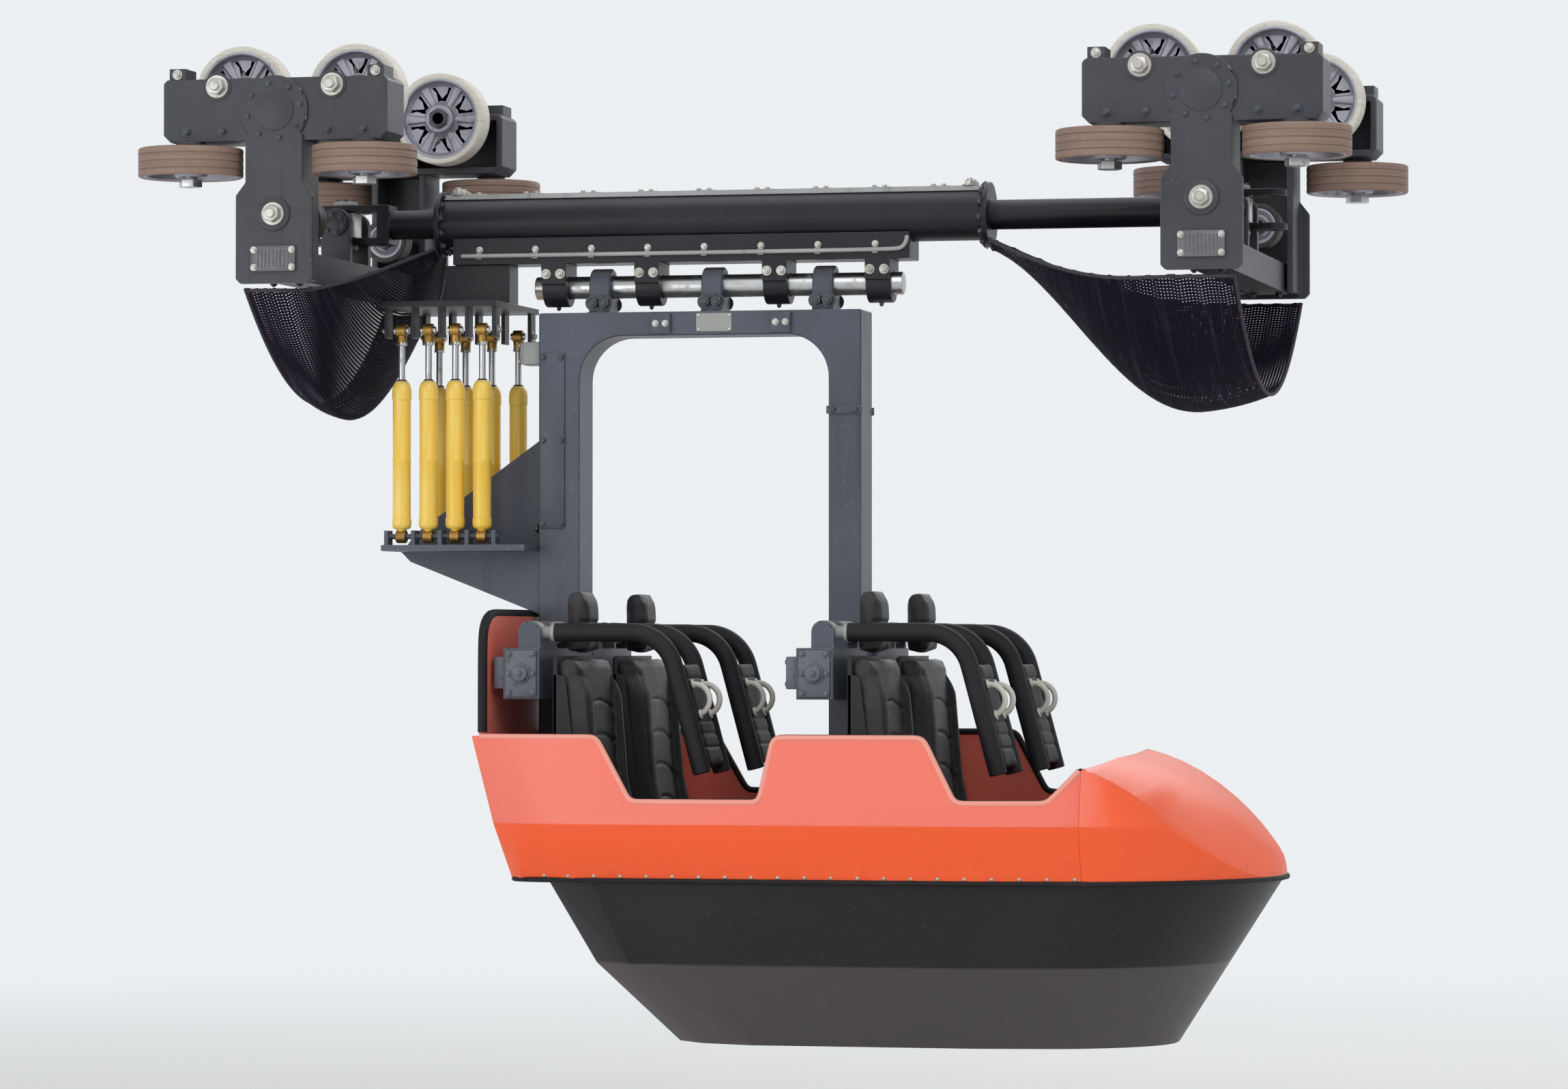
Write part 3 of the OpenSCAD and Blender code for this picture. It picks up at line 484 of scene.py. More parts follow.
def gelCoat(name, upperCode, lowerCode, split, plainFrom, scuffAndHighlightCode, dirtCode, roughness, dirtBelow):
    # moulded glass fibre: one tone above a height and another below it, up to the plain nose, with splashes
    # along its foot and hair scratches; on the orange body the lighter upper tone is a painted sky reflection,
    # and lighter edges that are worn and also a painted highlight
    material, place = newLook(name)
    height = place.axis("Z")
    cloud = place.noise(1.7, 5.0)
    scratches = place.stretched((3.0, 3.0, 120.0)).noise(2.0, 6.0, 0.7, 1.2).between(0.69, 0.76)
    splashes = place.noise(24.0, 6.0, 0.7).between(0.5, 0.72)
    plain = place.axis("X").between(plainFrom, plainFrom + 0.16) * 0.95
    upper = height.between(split - 0.004, split + 0.004) * (1 - plain)
    base = (upper * (0.8 + cloud * 0.4)).clamp().tint(shade(lowerCode), shade(upperCode))
    scuffed = (scratches * 0.15).tint(base, shade(scuffAndHighlightCode))
    soil = (1 - height.between(dirtBelow - 0.12, dirtBelow + 0.10)) * splashes
    soiled = (soil * 0.4 + upward(place) * 0.05).clamp().tint(scuffed, shade(dirtCode))
    # lighter edges: worn, and a painted highlight along them
    edges = edgeWearAndHighlight(place, 3.0, place.noise(60.0, 4.0))
    relief = place.noise(190.0, 2.0) * 0.5 + scratches * 0.5 + splashes * 0.1
    return finishLook(material, {
        "Base Color": (edges * 0.6).tint(soiled, shade(scuffAndHighlightCode)),
        "Roughness": roughness + cloud * 0.12 + scratches * 0.2 + soil * 0.25,
        "Specular IOR Level": 0.3, "Coat Weight": 0.12, "Coat Roughness": 0.2,
        "Normal": relief.bump(0.1, 0.0008)})


def rubberLook(name, colourCode, wornAndHighlightCode, roughness, grainScale=260.0):
    material, place = newLook(name)
    cloud = place.noise(8.0, 4.0)
    # lighter patches and edges: wear, with a painted highlight along the edges
    wornAndHighlight = (edgeWearAndHighlight(place, 3.0) * 0.5 + cloud.between(0.5, 0.8) * 0.35).clamp()
    return finishLook(material, {
        "Base Color": wornAndHighlight.tint(shade(colourCode), shade(wornAndHighlightCode)), "Roughness": roughness + cloud * 0.15,
        "Specular IOR Level": 0.3, "Normal": place.noise(grainScale, 3.0).bump(0.25, 0.0006)})


def treadLook(name, colourCode, bandCode, edgeCode):
    # cast polyurethane tyre: a polished running band and darker picked-up dirt beside it
    material, place = newLook(name)
    cloud = place.noise(14.0, 5.0)
    speck = place.noise(210.0, 4.0).between(0.58, 0.7)
    rings = place.stretched((0.5, 0.5, 90.0)).noise(3.0, 3.0)
    band = (rings.between(0.4, 0.65) * 0.6 + cloud * 0.3).clamp()
    colour = (speck * 0.5).tint(band.tint(shade(colourCode), shade(bandCode)), shade(edgeCode))
    return finishLook(material, {"Base Color": colour, "Roughness": 0.42 + cloud * 0.25,
                                 "Normal": (rings * 0.6 + speck * 0.4).bump(0.25, 0.0006)})


def vinylLook(name, colourCode, sheenCode, grainSize, roughness):
    # leather-grained vinyl: rounded cells with creases between them
    material, place = newLook(name)
    cells = place.node("TexVoronoi", {"feature": "DISTANCE_TO_EDGE"},
                       {"Vector": place, "Scale": 1 / grainSize}, "Distance").between(0.0, 0.22)
    rub = place.noise(22.0, 5.0).between(0.5, 0.78)
    cloud = place.noise(6.0, 4.0)
    return finishLook(material, {
        "Base Color": (cells * 0.25 + rub * 0.45).clamp().tint(shade(colourCode), shade(sheenCode)),
        "Roughness": roughness + cloud * 0.12 - rub * 0.08, "Normal": cells.bump(0.35, 0.0006)})


def netLook(name, threadCode, foldSheenCode, cell, cord):
    # knotted cord in two directions; the sheet's own UV map is in metres
    material, uv = newLook(name, "UV")

    def cords(letter):
        step = uv.maths("PINGPONG", uv.axis(letter) * (1 / cell), 0.5)
        return 1 - step.between(cord * 0.5 - 0.04, cord * 0.5 + 0.04)

    warp, weft = cords("X"), cords("Y")
    # lighter streaks along the folds are painted sheen and shade of the folds, mixed with cloud and fray noise
    foldSheen = uv.stretched((2.2, 46.0, 1.0)).noise(1.0, 4.0, 0.6).between(0.5, 0.75)
    foldSheenAndFray = (foldSheen * 0.7 + uv.noise(7.0, 4.0) * 0.2 + uv.noise(500.0, 3.0) * 0.2).clamp()
    return finishLook(material, {
        "Base Color": foldSheenAndFray.tint(shade(threadCode), shade(foldSheenCode)), "Roughness": 0.85,
        "Specular IOR Level": 0.1, "Alpha": uv.maths("MAXIMUM", warp, weft),
        "Normal": (warp + weft * 0.7).bump(0.6, 0.002)})


def ropeLook(name, firstCode, secondCode):
    # laid rope, with its strands as diagonal bands
    material, place = newLook(name)
    strands = place.node("TexWave", {"bands_direction": "DIAGONAL"},
                         {"Vector": place, "Scale": 75.0, "Distortion": 1.2}, "Fac")
    fibres = place.noise(380.0, 3.0)
    return finishLook(material, {
        "Base Color": (strands * 0.6 + fibres * 0.3).clamp().tint(shade(firstCode), shade(secondCode)),
        "Roughness": 0.8, "Normal": (strands + fibres * 0.3).bump(0.6, 0.0015)})


def chequerLook(name, plateCode, grimeCode, pitch):
    # rolled plate with raised bars, turned by a quarter in every other square
    material, place = newLook(name)
    x, y = [place.axis(letter) * (1 / pitch) for letter in "XY"]
    odd = place.maths("FLOORED_MODULO", place.maths("FLOOR", x) + place.maths("FLOOR", y), 2.0)
    u, v = [place.maths("FRACT", line) - 0.5 for line in (x, y)]
    lengthwise = odd * u + (1 - odd) * v
    crosswise = odd * v + (1 - odd) * u
    bar = 1 - ((lengthwise * 0.5) ** 2.0 + (crosswise * 2.0) ** 2.0).between(0.03, 0.07)
    grime = place.noise(12.0, 6.0).between(0.42, 0.7)
    return finishLook(material, {
        "Base Color": (grime * (1 - bar * 0.7)).tint(shade(plateCode), shade(grimeCode)),
        "Metallic": 0.75 - grime * 0.5, "Roughness": 0.38 + grime * 0.4, "Normal": bar.bump(0.8, 0.0018)})


blackPaint = paintedSteel("blackPaint", "35353b", "404047", "77777a", "6b6560", 0.48, grime=0.35)
greyPaint = paintedSteel("greyPaint", "454a56", "505663", "8f9196", "7b7872", 0.46)
# the tube's own dark paint; its pale top tone is a painted sky reflection, and on the bearing beam and
# crosshead this darker paint is painted shade
tubeAndShadePaint = paintedSteel("tubeAndShadePaint", "17161e", "201f28", "6a5a4c", "77727a", 0.42, coat=0.15, gloss=0.25)
yellowPaint = paintedSteel("yellowPaint", "f3c53f", "f6d56c", "b9986a", "dccb93", 0.34, 2.0, 0.14, 0.4)
palePaint = paintedSteel("palePaint", "a9abac", "9a9b99", "7f7d79", "8e897f", 0.42)
footPaint = paintedSteel("footPaint", "625f66", "716e74", "98968f", "7b7872", 0.45, 4.0, 0.6)
brightSteel = machinedSteel("brightSteel", "c9cbcd", "8a8276", 0.24)
zincBolt = machinedSteel("zincBolt", "c4c4c0", "948b76", 0.32, 0.95)
darkBolt = machinedSteel("darkBolt", "565a60", "39342f", 0.4, 0.85)
goldZinc = machinedSteel("goldZinc", "b8904a", "5f5034", 0.34, 0.95)
castAlloy = machinedSteel("castAlloy", "b7b6c0", "77747c", 0.45, 0.75)
castGrey = machinedSteel("castGrey", "6d7079", "45454b", 0.45, 0.6)
# the salmon tone above the crease is a painted sky reflection on the upper facets; the nose keeps the plain
# lower tone
orangeGel = gelCoat("orangeGel", "f97e6b", "ff6230", -2.02, 0.96, "f9a892", "6a4030", 0.36, -2.17)
darkHull = gelCoat("darkHull", "19171d", "4f4a4b", -2.43, 9.0, "6c6462", "6a6058", 0.45, -2.5)
blackRubber = rubberLook("blackRubber", "17171a", "3b3a3a", 0.6)
foamSkin = rubberLook("foamSkin", "1b1b1e", "3a3a3d", 0.55, 520.0)
gripPale = rubberLook("gripPale", "d8d6cd", "a9a59a", 0.42)
# pale salmon lip on the body's top edges: a rolled rim whose light colour is a painted highlight
lipHighlightPaint = rubberLook("lipHighlightPaint", "f7a594", "ea8468", 0.45)
shellPlastic = rubberLook("shellPlastic", "222226", "3a3a3f", 0.45, 340.0)
tanTread = treadLook("tanTread", "937a6c", "7d665a", "43362f")
creamTread = treadLook("creamTread", "e6e2d8", "cfc8b8", "8b8274")
darkTread = treadLook("darkTread", "2a2829", "3d3936", "151414")
seatVinyl = vinylLook("seatVinyl", "1a1a1d", "3c3c41", 0.0016, 0.44)
# the second colour is the painted sheen on the net's folds
netThread = netLook("netThread", "0e0c17", "3c3549", 0.010, 0.58)
hemRope = ropeLook("hemRope", "26232b", "4d4852")
chequerPlate = chequerLook("chequerPlate", "8d9093", "3a3733", 0.034)
print("finishes made")


# fasteners, pointing along +Z from a face at the origin; the templates are dropped at the end

templates = []


def hexBolt(name, across, height, washer=1.6, stub=0.0):
    thick = across * 0.12
    top = thick + height
    parts = [roundEdges(rod(name, (0, 0, thick), (0, 0, top), across / math.sqrt(3), 6), across * 0.05),
             roundEdges(rod(name, (0, 0, 0), (0, 0, thick), across * washer / 2, 24), across * 0.03, 1)]
    if stub:
        end = rod(name, (0, 0, top - 0.001), (0, 0, top + stub), across * 0.3, 20)
        parts.append(roundEdges(end, across * 0.04, 1))
    templates.append(smooth(joined(name, parts)))
    return templates[-1]


def domeBolt(name, radius, height):
    profile = [(0, 0), (radius, 0), (radius, height * 0.25), (radius * 0.86, height * 0.66),
               (radius * 0.5, height * 0.94), (0, height)]
    templates.append(smooth(turned(name, profile, 16), 50))
    return templates[-1]


boltM30 = hexBolt("boltM30", 0.046, 0.020, 1.5, 0.010)
boltM20 = hexBolt("boltM20", 0.030, 0.013, stub=0.006)
boltM12 = hexBolt("boltM12", 0.019, 0.008, stub=0.004)
boltM8 = hexBolt("boltM8", 0.013, 0.0055)
rivet = domeBolt("rivet", 0.006, 0.0028)
hubScrew = domeBolt("hubScrew", 0.0042, 0.0026)
greaseCup = domeBolt("greaseCup", 0.007, 0.012)


# wheels: one template of each kind, standing on the Z axis

wheels = {
    "road": {"radius": 0.1425, "half": 0.045, "rim": 0.1265, "boss": 0.044, "web": 0.017, "pockets": 6,
             "grooves": (-0.020, 0.020), "upright": True, "tyre": creamTread},
    "guide": {"radius": 0.155, "half": 0.043, "rim": 0.139, "boss": 0.048, "web": 0.016, "pockets": 6,
              "grooves": (-0.022, 0.0, 0.022), "upright": False, "tyre": tanTread},
    "upstop": {"radius": 0.070, "half": 0.035, "rim": 0.054, "boss": 0.034, "web": 0.022, "pockets": 0,
               "grooves": (0.0,), "upright": True, "tyre": darkTread}}
wheelForm = {"bore": 0.0206, "pocketIn": 0.006, "pocketDeep": 0.009, "pocketShare": 0.36, "screws": 6,
             "steps": 60, "treadSteps": 72}


def makeHub(s):
    w = wheelForm
    half, boss, web, rim = s["half"] - 0.002, s["boss"], s["web"], s["rim"]
    side = [(w["bore"], half), (boss - 0.004, half), (boss, half - 0.003), (boss + 0.003, web + 0.003),
            (boss + 0.006, web), (rim - 0.016, web), (rim - 0.013, web + 0.003), (rim - 0.010, half - 0.003),
            (rim - 0.007, half), (rim, half)]
    hub = turned("hub", [(r, -z) for r, z in side] + [(r, z) for r, z in reversed(side)], w["steps"])
    if s["pockets"]:
        share = 2 * math.pi / s["pockets"]

        def inPocket(place, normal):
            turn = math.atan2(place.y, place.x) % share
            onWeb = abs(normal.z) > 0.99 and abs(abs(place.z) - web) < 0.0005
            return onWeb and abs(turn - share / 2) < share * w["pocketShare"]

        editFaces(hub, inPocket)
        bpy.ops.mesh.inset(thickness=w["pocketIn"], depth=-w["pocketDeep"])
        closeEdit()
    roundEdges(hub, 0.0012, 2, 40)
    screws, radius = [], (w["bore"] + boss) / 2
    for face in (1, -1):
        screws += ringPlaces((0, 0, face * (half - 0.001)), (0, 0, face), radius, w["screws"], 0.3)
    return smooth(joined("hub", [hub, spread(hubScrew, "screws", screws)]))


def makeTread(s):
    half, rim, radius = s["half"], s["rim"], s["radius"]
    outer = [(radius - 0.006, -half), (radius - 0.0018, -half + 0.0018), (radius, -half + 0.006)]
    for z in s["grooves"]:
        outer += [(radius, z - 0.0022), (radius - 0.0022, z - 0.0008), (radius - 0.0022, z + 0.0008),
                  (radius, z + 0.0022)]
    outer += [(radius, half - 0.006), (radius - 0.0018, half - 0.0018), (radius - 0.006, half)]
    profile = [(rim - 0.0005, -half + 0.002)] + outer + [(rim - 0.0005, half - 0.002)]
    return smooth(turned("tread", profile, wheelForm["treadSteps"]), 40)


for kind, s in wheels.items():
    hub, tread = makeHub(s), makeTread(s)
    for node in [node for node in frame["nodes"] if node.startswith(f"{kind}_wheel_")]:
        placing = Matrix.Translation(middle(node))
        if s["upright"]:
            placing = placing @ Matrix.Rotation(math.radians(-90 if "_left" in node else 90), 4, "X")
        for form, part, look, slot in ((hub, "hub", castAlloy, "wheel_steel"),
                                       (tread, "tread", s["tyre"], "tan_tread")):
            piece = copyOf(form, f"{node}_{part}")
            piece.data.transform(placing)
            finishPiece(piece, look, slot, node, node)
    drop(hub, tread)
print("wheels made")


# wheel carriers

carrier = {"edge": 0.004, "axleReach": 0.177, "blockReach": 0.305, "blockFace": 0.690, "blockZ": 0.182,
           "boxFace": 0.700, "hangerFace": 0.710, "hangerZ": 0.069, "axleZ": 0.1425, "guideReach": 0.268,
           "guideY": 0.675, "boxFoot": -0.0195, "upstopZ": -0.236, "lugFace": 0.110, "lugCap": 0.013,
           "yokeBoltX": 0.040, "yokeBoltY": 0.585, "yokeBoltZ": -0.428, "boxBoltShift": 0.04,
           "boxBoltX": 0.055, "boxBoltZ": 0.010, "washer": 0.007,
           # each nut: near face and far face from the middle of the car, and radius
           "roadNut": (0.387, 0.3945, 0.033), "upstopNut": (0.397, 0.4045, 0.030)}
footPlate = {"half": 0.068, "top": -0.330, "bottom": -0.405, "thick": 0.010, "flutes": 9, "pitch": 0.0115,
             "flute": 0.0036, "margin": 0.009, "boltX": 0.058, "boltZ": (-0.342, -0.393)}


def flutedPlate(x, face, out):
    # small cast plate with upright flutes, bolted at its corners
    s = footPlate
    front = face + out * s["thick"]
    parts = [box("plate", (x - s["half"], face, s["bottom"]), (x + s["half"], front, s["top"]), 0.003)]
    bottom, top = s["bottom"] + s["margin"], s["top"] - s["margin"]
    for i in range(s["flutes"]):
        place = x + (i - (s["flutes"] - 1) / 2) * s["pitch"]
        parts.append(rod("flute", (place, front, bottom), (place, front, top), s["flute"], 12))
    return smooth(joined("plate", parts))


def hexNut(name, x, out, z, near, far, radius):
    # a plain nut on the inner end of an axle
    return roundEdges(rod(name, (x, out * near, z), (x, out * far, z), radius, 6), 0.0015)


s = carrier
for end in ends:
    x0, rides = carrierX[end], f"carrier_{end}"
    for node, name, look, slot, edge, flat in (
            ("side_frames", "sideFrames", blackPaint, "black_frame", s["edge"], False),
            ("yoke", "yokeBeam", blackPaint, "black_frame", s["edge"], True),
            ("axles", "axleSet", brightSteel, "bright_steel", 0.002, True)):
        piece = softCopy(f"{node}_{end}", f"{name}_{end}", edge, flat=flat)
        finishPiece(weighted(piece), look, slot, rides, f"{node}_{end}")
    bright, dark, plates, discs = [], [], [], []
    for out in sides.values():
        face, down = Vector((0, out, 0)), Vector((0, 0, -1))
        hanger = out * s["hangerFace"]
        for along in (1, -1):
            x, blockX, guideX = [x0 + along * s[reach] for reach in ("axleReach", "blockReach", "guideReach")]
            bright.append(fixed(boltM30, face, x, out * (s["boxFace"] + 0.003), s["axleZ"], turn=0.3))
            discs.append(disc("axleBoss", (x, out * (s["boxFace"] - 0.001), s["axleZ"]), face, 0.042, 0.005))
            bright.append(fixed(boltM12, face, blockX, out * s["blockFace"], s["blockZ"], turn=0.5))
            boxBolts = [x + along * s["boxBoltShift"] + way * s["boxBoltX"] for way in (-1, 1)]
            dark.append(fixed(boltM12, face, tuple(boxBolts), out * s["boxFace"], s["boxBoltZ"]))
            # flange of the guide wheel's axle, under the box
            discs.append(disc("guideFlange", (guideX, out * s["guideY"], s["boxFoot"]), down, 0.044, 0.009))
            dark.append(hexNut("roadNut", x, out, s["axleZ"], *s["roadNut"]))
        discs.append(disc("hangerRing", (x0, hanger, s["hangerZ"]), face, 0.060, 0.004))
        ring = ringPlaces((x0, hanger, s["hangerZ"]), face, 0.082, 8, 0.2)
        dark.append(spread(boltM8, "hangerBolts", ring))
        discs.append(disc("upstopWasher", (x0, hanger, s["upstopZ"]), face, 0.050, s["washer"]))
        bright.append(fixed(boltM30, face, x0, hanger + out * s["washer"], s["upstopZ"], turn=0.1))
        dark.append(hexNut("upstopNut", x0, out, s["upstopZ"], *s["upstopNut"]))
        plates.append(flutedPlate(x0, hanger, out))
        plateX, plateY = (x0 - footPlate["boltX"], x0 + footPlate["boltX"]), hanger + out * footPlate["thick"]
        bright.append(fixed(boltM8, face, plateX, plateY, footPlate["boltZ"], turn=0.4))
        # cap over the cross block's trunnion, outside the yoke's lug
        discs.append(disc("lugCap", (x0, out * s["lugFace"], drawbarZ), face, 0.038, s["lugCap"]))
        capFace = (x0, out * (s["lugFace"] + s["lugCap"]), drawbarZ)
        dark.append(spread(boltM8, "lugBolts", ringPlaces(capFace, face, 0.029, 6)))
        # bolts of the yoke's joint with the hanger's ribs
        yokeX = (x0 - s["yokeBoltX"], x0 + s["yokeBoltX"])
        dark.append(fixed(boltM12, down, yokeX, out * s["yokeBoltY"], s["yokeBoltZ"], turn=0.1))
    for name, parts, look, slot in (("Nuts", bright, zincBolt, "bright_steel"),
                                    ("Bolts", dark, darkBolt, "bright_steel"),
                                    ("Plates", plates, footPaint, "grey_frame"),
                                    ("Discs", discs, blackPaint, "black_frame")):
        finishPiece(smooth(joined(f"carrier{name}_{end}", parts)), look, slot, rides)
    block = softCopy(f"carrier_cross_{end}", f"crossBlock_{end}", 0.002)
    finishPiece(block, brightSteel, "bright_steel", f"cross_{end}", f"carrier_cross_{end}")
print("carriers made")


# chassis

chassis = {"flangeX": {"front": 0.620, "rear": -1.055}, "boltCircle": 0.087, "barTop": -0.134,
           "bearings": (-0.700, -0.410, -0.015, 0.300), "bearingZ": -0.381, "cupZ": -0.477, "studs": 9,
           "studFrom": -0.96, "studPitch": 0.18, "studX": 0.016, "studY": (0.030, -0.030),
           "clampIn": 0.045, "clampY": (0.028, -0.028), "beamFace": 0.070, "bearingBolt": 0.022,
           "combX": (-1.182, -0.838), "combY": 0.2, "combZ": -0.554}
pipe = {"z": -0.324, "y": 0.079, "radius": 0.0065, "clips": 8, "clipFrom": -0.93, "clipPitch": 0.175,
        "clipHalf": 0.009, "clipTall": 0.0095}

for node, name, look, slot, edge in (
        ("chassis_tube", "mainTube", tubeAndShadePaint, "grey_frame", 0.003),
        ("chassis_top_bar", "topBar", palePaint, "grey_frame", 0.0015),
        # the bearing beam and crosshead take the darker tube paint as painted shade, for the shadow under the
        # tube
        ("bearing_beam", "bearingBeam", tubeAndShadePaint, "black_frame", 0.004),
        ("damper_crosshead", "crosshead", tubeAndShadePaint, "black_frame", 0.002)):
    finishPiece(weighted(softCopy(node, name, edge)), look, slot, "chassis", node)

bright, dark, pale = [], [], []
s = chassis
for end, way in ends.items():
    flange = ringPlaces((s["flangeX"][end], 0, drawbarZ), (-way, 0, 0), s["boltCircle"], 12, 0.13)
    dark.append(spread(boltM12, "flangeBolts", flange))
    # covers over the upright trunnions of the carrier joint
    for up in (1, -1):
        place = Vector((carrierX[end], 0, drawbarZ + up * 0.060))
        pale.append(disc("trunnionCap", place, (0, 0, up), 0.036, 0.014))
        ring = ringPlaces(place + Vector((0, 0, up * 0.013)), (0, 0, up), 0.027, 6)
        dark.append(spread(boltM8, "capBolts", ring))
    clampX = s["flangeX"][end] - way * s["clampIn"]
    bright.append(fixed(boltM20, (0, 0, 1), clampX, s["clampY"], s["barTop"]))
for i in range(s["studs"]):
    x = s["studFrom"] + i * s["studPitch"]
    studs = (x - s["studX"], x + s["studX"])
    bright.append(fixed(boltM8, (0, 0, 1), studs, s["studY"], s["barTop"], turn=0.1))
# oil cups at the bearings' feet
dark.append(fixed(greaseCup, (0, 0, -1), s["bearings"], 0, s["cupZ"], turn=0))
for side in (1, -1):
    for x in s["bearings"]:
        bolts = (x - s["bearingBolt"], x + s["bearingBolt"])
        bright.append(fixed(boltM12, (0, side, 0), bolts, side * s["beamFace"], s["bearingZ"]))
    y, z, half, tall = side * pipe["y"], pipe["z"], pipe["clipHalf"], pipe["clipTall"]
    pale.append(smooth(tube("airPipe", [(-0.985, y, z), (0.345, y, z), (0.375, y, z), (0.392, y, z + 0.018),
                                        (0.392, y * 0.90, z + 0.040)], pipe["radius"])))
    for i in range(pipe["clips"]):
        x = pipe["clipFrom"] + i * pipe["clipPitch"]
        pale.append(box("pipeClip", (x - half, y - side * 0.010, z - tall), (x + half, y, z + tall), 0.001, 1))
        bright.append(fixed(boltM8, (0, side, 0), x, side * s["beamFace"], z + 2 * tall))
    # upper damper pins end in nuts on the crosshead's combs
    for x, way in zip(s["combX"], (-1, 1)):
        bright.append(fixed(boltM12, (way, 0, 0), x, side * s["combY"], s["combZ"], turn=0.3))
finishPiece(smooth(joined("chassisBrightBolts", bright)), zincBolt, "bright_steel", "chassis")
finishPiece(smooth(joined("chassisDarkBolts", dark)), darkBolt, "bright_steel", "chassis")
finishPiece(smooth(joined("chassisPipes", pale)), palePaint, "grey_frame", "chassis")
print("chassis made")


# dampers: four in a row, made once each and joined per node

damper = {"pitch": 0.084, "count": 4, "footZ": -1.175, "topZ": -0.554, "baseZ": -1.152, "headZ": -0.705,
          "rodEnd": -0.893, "eye": 0.020, "eyeHalf": 0.015, "eyeBore": 0.0082, "rod": 0.010, "bore": 0.0107,
          "boreDeep": 0.300, "wall": 0.0272, "cap": 0.029, "pinHalf": 0.023, "pin": 0.011}


def eyeRing(height):
    # round eye of a damper about the X axis
    h, r, bore = damper["eyeHalf"], damper["eye"], damper["eyeBore"]
    profile = [(bore, -h), (r - 0.002, -h), (r, -h + 0.002), (r, h - 0.002), (r - 0.002, h), (bore, h)]
    ring = turned("eye", profile, 32)
    ring.data.transform(Matrix.Translation((0, 0, height)) @ Matrix.Rotation(math.radians(90), 4, "Y"))
    return ring


def damperForms():
    s = damper
    b, h, foot, top, end = s["baseZ"], s["headZ"], s["footZ"], s["topZ"], s["rodEnd"]
    wall, cap, bore = s["wall"], s["cap"], s["bore"]
    barrel = turned("barrel", [(0, b), (0.022, b), (0.0275, b + 0.005), (cap, b + 0.012), (cap, b + 0.030),
                               (wall, b + 0.032), (wall, b + 0.200), (0.0280, b + 0.202), (0.0280, b + 0.208),
                               (wall, b + 0.210), (wall, h - 0.060), (cap, h - 0.058), (cap, h - 0.030),
                               (0.0265, h - 0.016), (0.0215, h - 0.006), (0.0145, h - 0.0005), (bore, h),
                               (bore, h - s["boreDeep"]), (0, h - s["boreDeep"])], 40)
    neck = turned("neck", [(0, foot + 0.012), (0.012, foot + 0.012), (0.013, b - 0.006), (0.018, b + 0.001),
                           (0, b + 0.001)], 24)
    shaft = turned("shaft", [(0, end), (s["rod"] - 0.0005, end), (s["rod"], end + 0.001),
                             (s["rod"], top - 0.030), (0, top - 0.030)], 28)
    lockNut = roundEdges(rod("lockNut", (0, 0, top - 0.046), (0, 0, top - 0.036), 0.0165, 6), 0.001)
    clevis = turned("clevis", [(0, top - 0.046), (0.0125, top - 0.046), (0.0145, top - 0.040),
                               (0.0155, top - 0.016), (0, top - 0.010)], 24)
    seal = turned("seal", [(0.0103, h - 0.001), (0.0155, h - 0.001), (0.0150, h + 0.001), (0.0125, h + 0.003),
                           (0.0103, h + 0.003)], 24)
    pin = rod("pin", (-s["pinHalf"], 0, top), (s["pinHalf"], 0, top), s["pin"], 20)
    cylinder = smooth(joined("cylinder", [barrel, neck]), 40)
    clevis = smooth(joined("clevis", [eyeRing(top), clevis]), 40)
    bar = smooth(joined("rod", [shaft, lockNut]))
    # name, form, finish, slot, node and body, and whether it stands for the node
    return (("damperBodies", cylinder, yellowPaint, "yellow_paint", "cylinders", True),
            ("damperFeet", smooth(eyeRing(foot), 40), goldZinc, "bright_steel", "cylinders", False),
            ("damperSeals", seal, blackRubber, "black_foam", "cylinders", False),
            ("damperRods", bar, brightSteel, "bright_steel", "rods", True),
            ("damperClevises", clevis, goldZinc, "bright_steel", "rods", False),
            ("damperPins", smooth(pin), brightSteel, "bright_steel", "rods", False))


for name, form, look, slot, group, stands in damperForms():
    for side in sides:
        node = f"damper_{group}_{side}"
        first = low(node).x + (damper["cap"] if group == "cylinders" else damper["pinHalf"])
        row = [moved(copyOf(form, name), (first + i * damper["pitch"], middle(node).y, 0))
               for i in range(damper["count"])]
        finishPiece(joined(f"{name}_{side}", row), look, slot, f"{group}_{side}", *([node] if stands else []))
    drop(form)
print("dampers made")


# swing frame

swing = {"edge": 0.006, "shelfEdge": 0.002, "knuckles": (-0.560, -0.212, 0.130), "knuckleZ": -0.470,
         "knuckleBolt": 0.018, "knuckleFace": 0.056, "legSide": 0.080, "shaftFit": 0.985, "shelfX": -0.7505,
         "shelfY": 0.040, "shelfBolts": (-1.150, -1.270)}
# plates on the frame's faces: name, X and Z range, thickness and edge, then the fastener's places
swingPlates = (
    ("legCover", (-0.735, -0.660), (-1.150, -0.620), 0.008, 0.003, (-0.726, -0.669), (-0.634, -0.885, -1.136)),
    ("seamFlange", (0.149, 0.259), (-0.812, -0.788), 0.008, 0.002, (0.170, 0.238), (-0.800,)),
    ("barBracket", (-0.390, -0.330), (-0.566, -0.506), 0.014, 0.003, (-0.375, -0.345), (-0.536,)),
    ("barBracket", (-0.020, 0.040), (-0.566, -0.506), 0.014, 0.003, (-0.005, 0.025), (-0.536,)),
    ("blankPlate", (-0.252, -0.142), (-0.562, -0.506), 0.003, 0.001, (-0.245, -0.149), (-0.555, -0.513)))

swingFrame = weighted(softCopy("swing_frame", "swingFrame", swing["edge"], 3))
finishPiece(swingFrame, greyPaint, "grey_frame", "swing", "swing_frame")
shelf = weighted(softCopy("damper_shelf", "damperShelf", swing["shelfEdge"], flat=False))
finishPiece(shelf, greyPaint, "black_frame", "swing", "damper_shelf")
shaft = softCopy("swing_shaft", "swingShaft", 0.003)
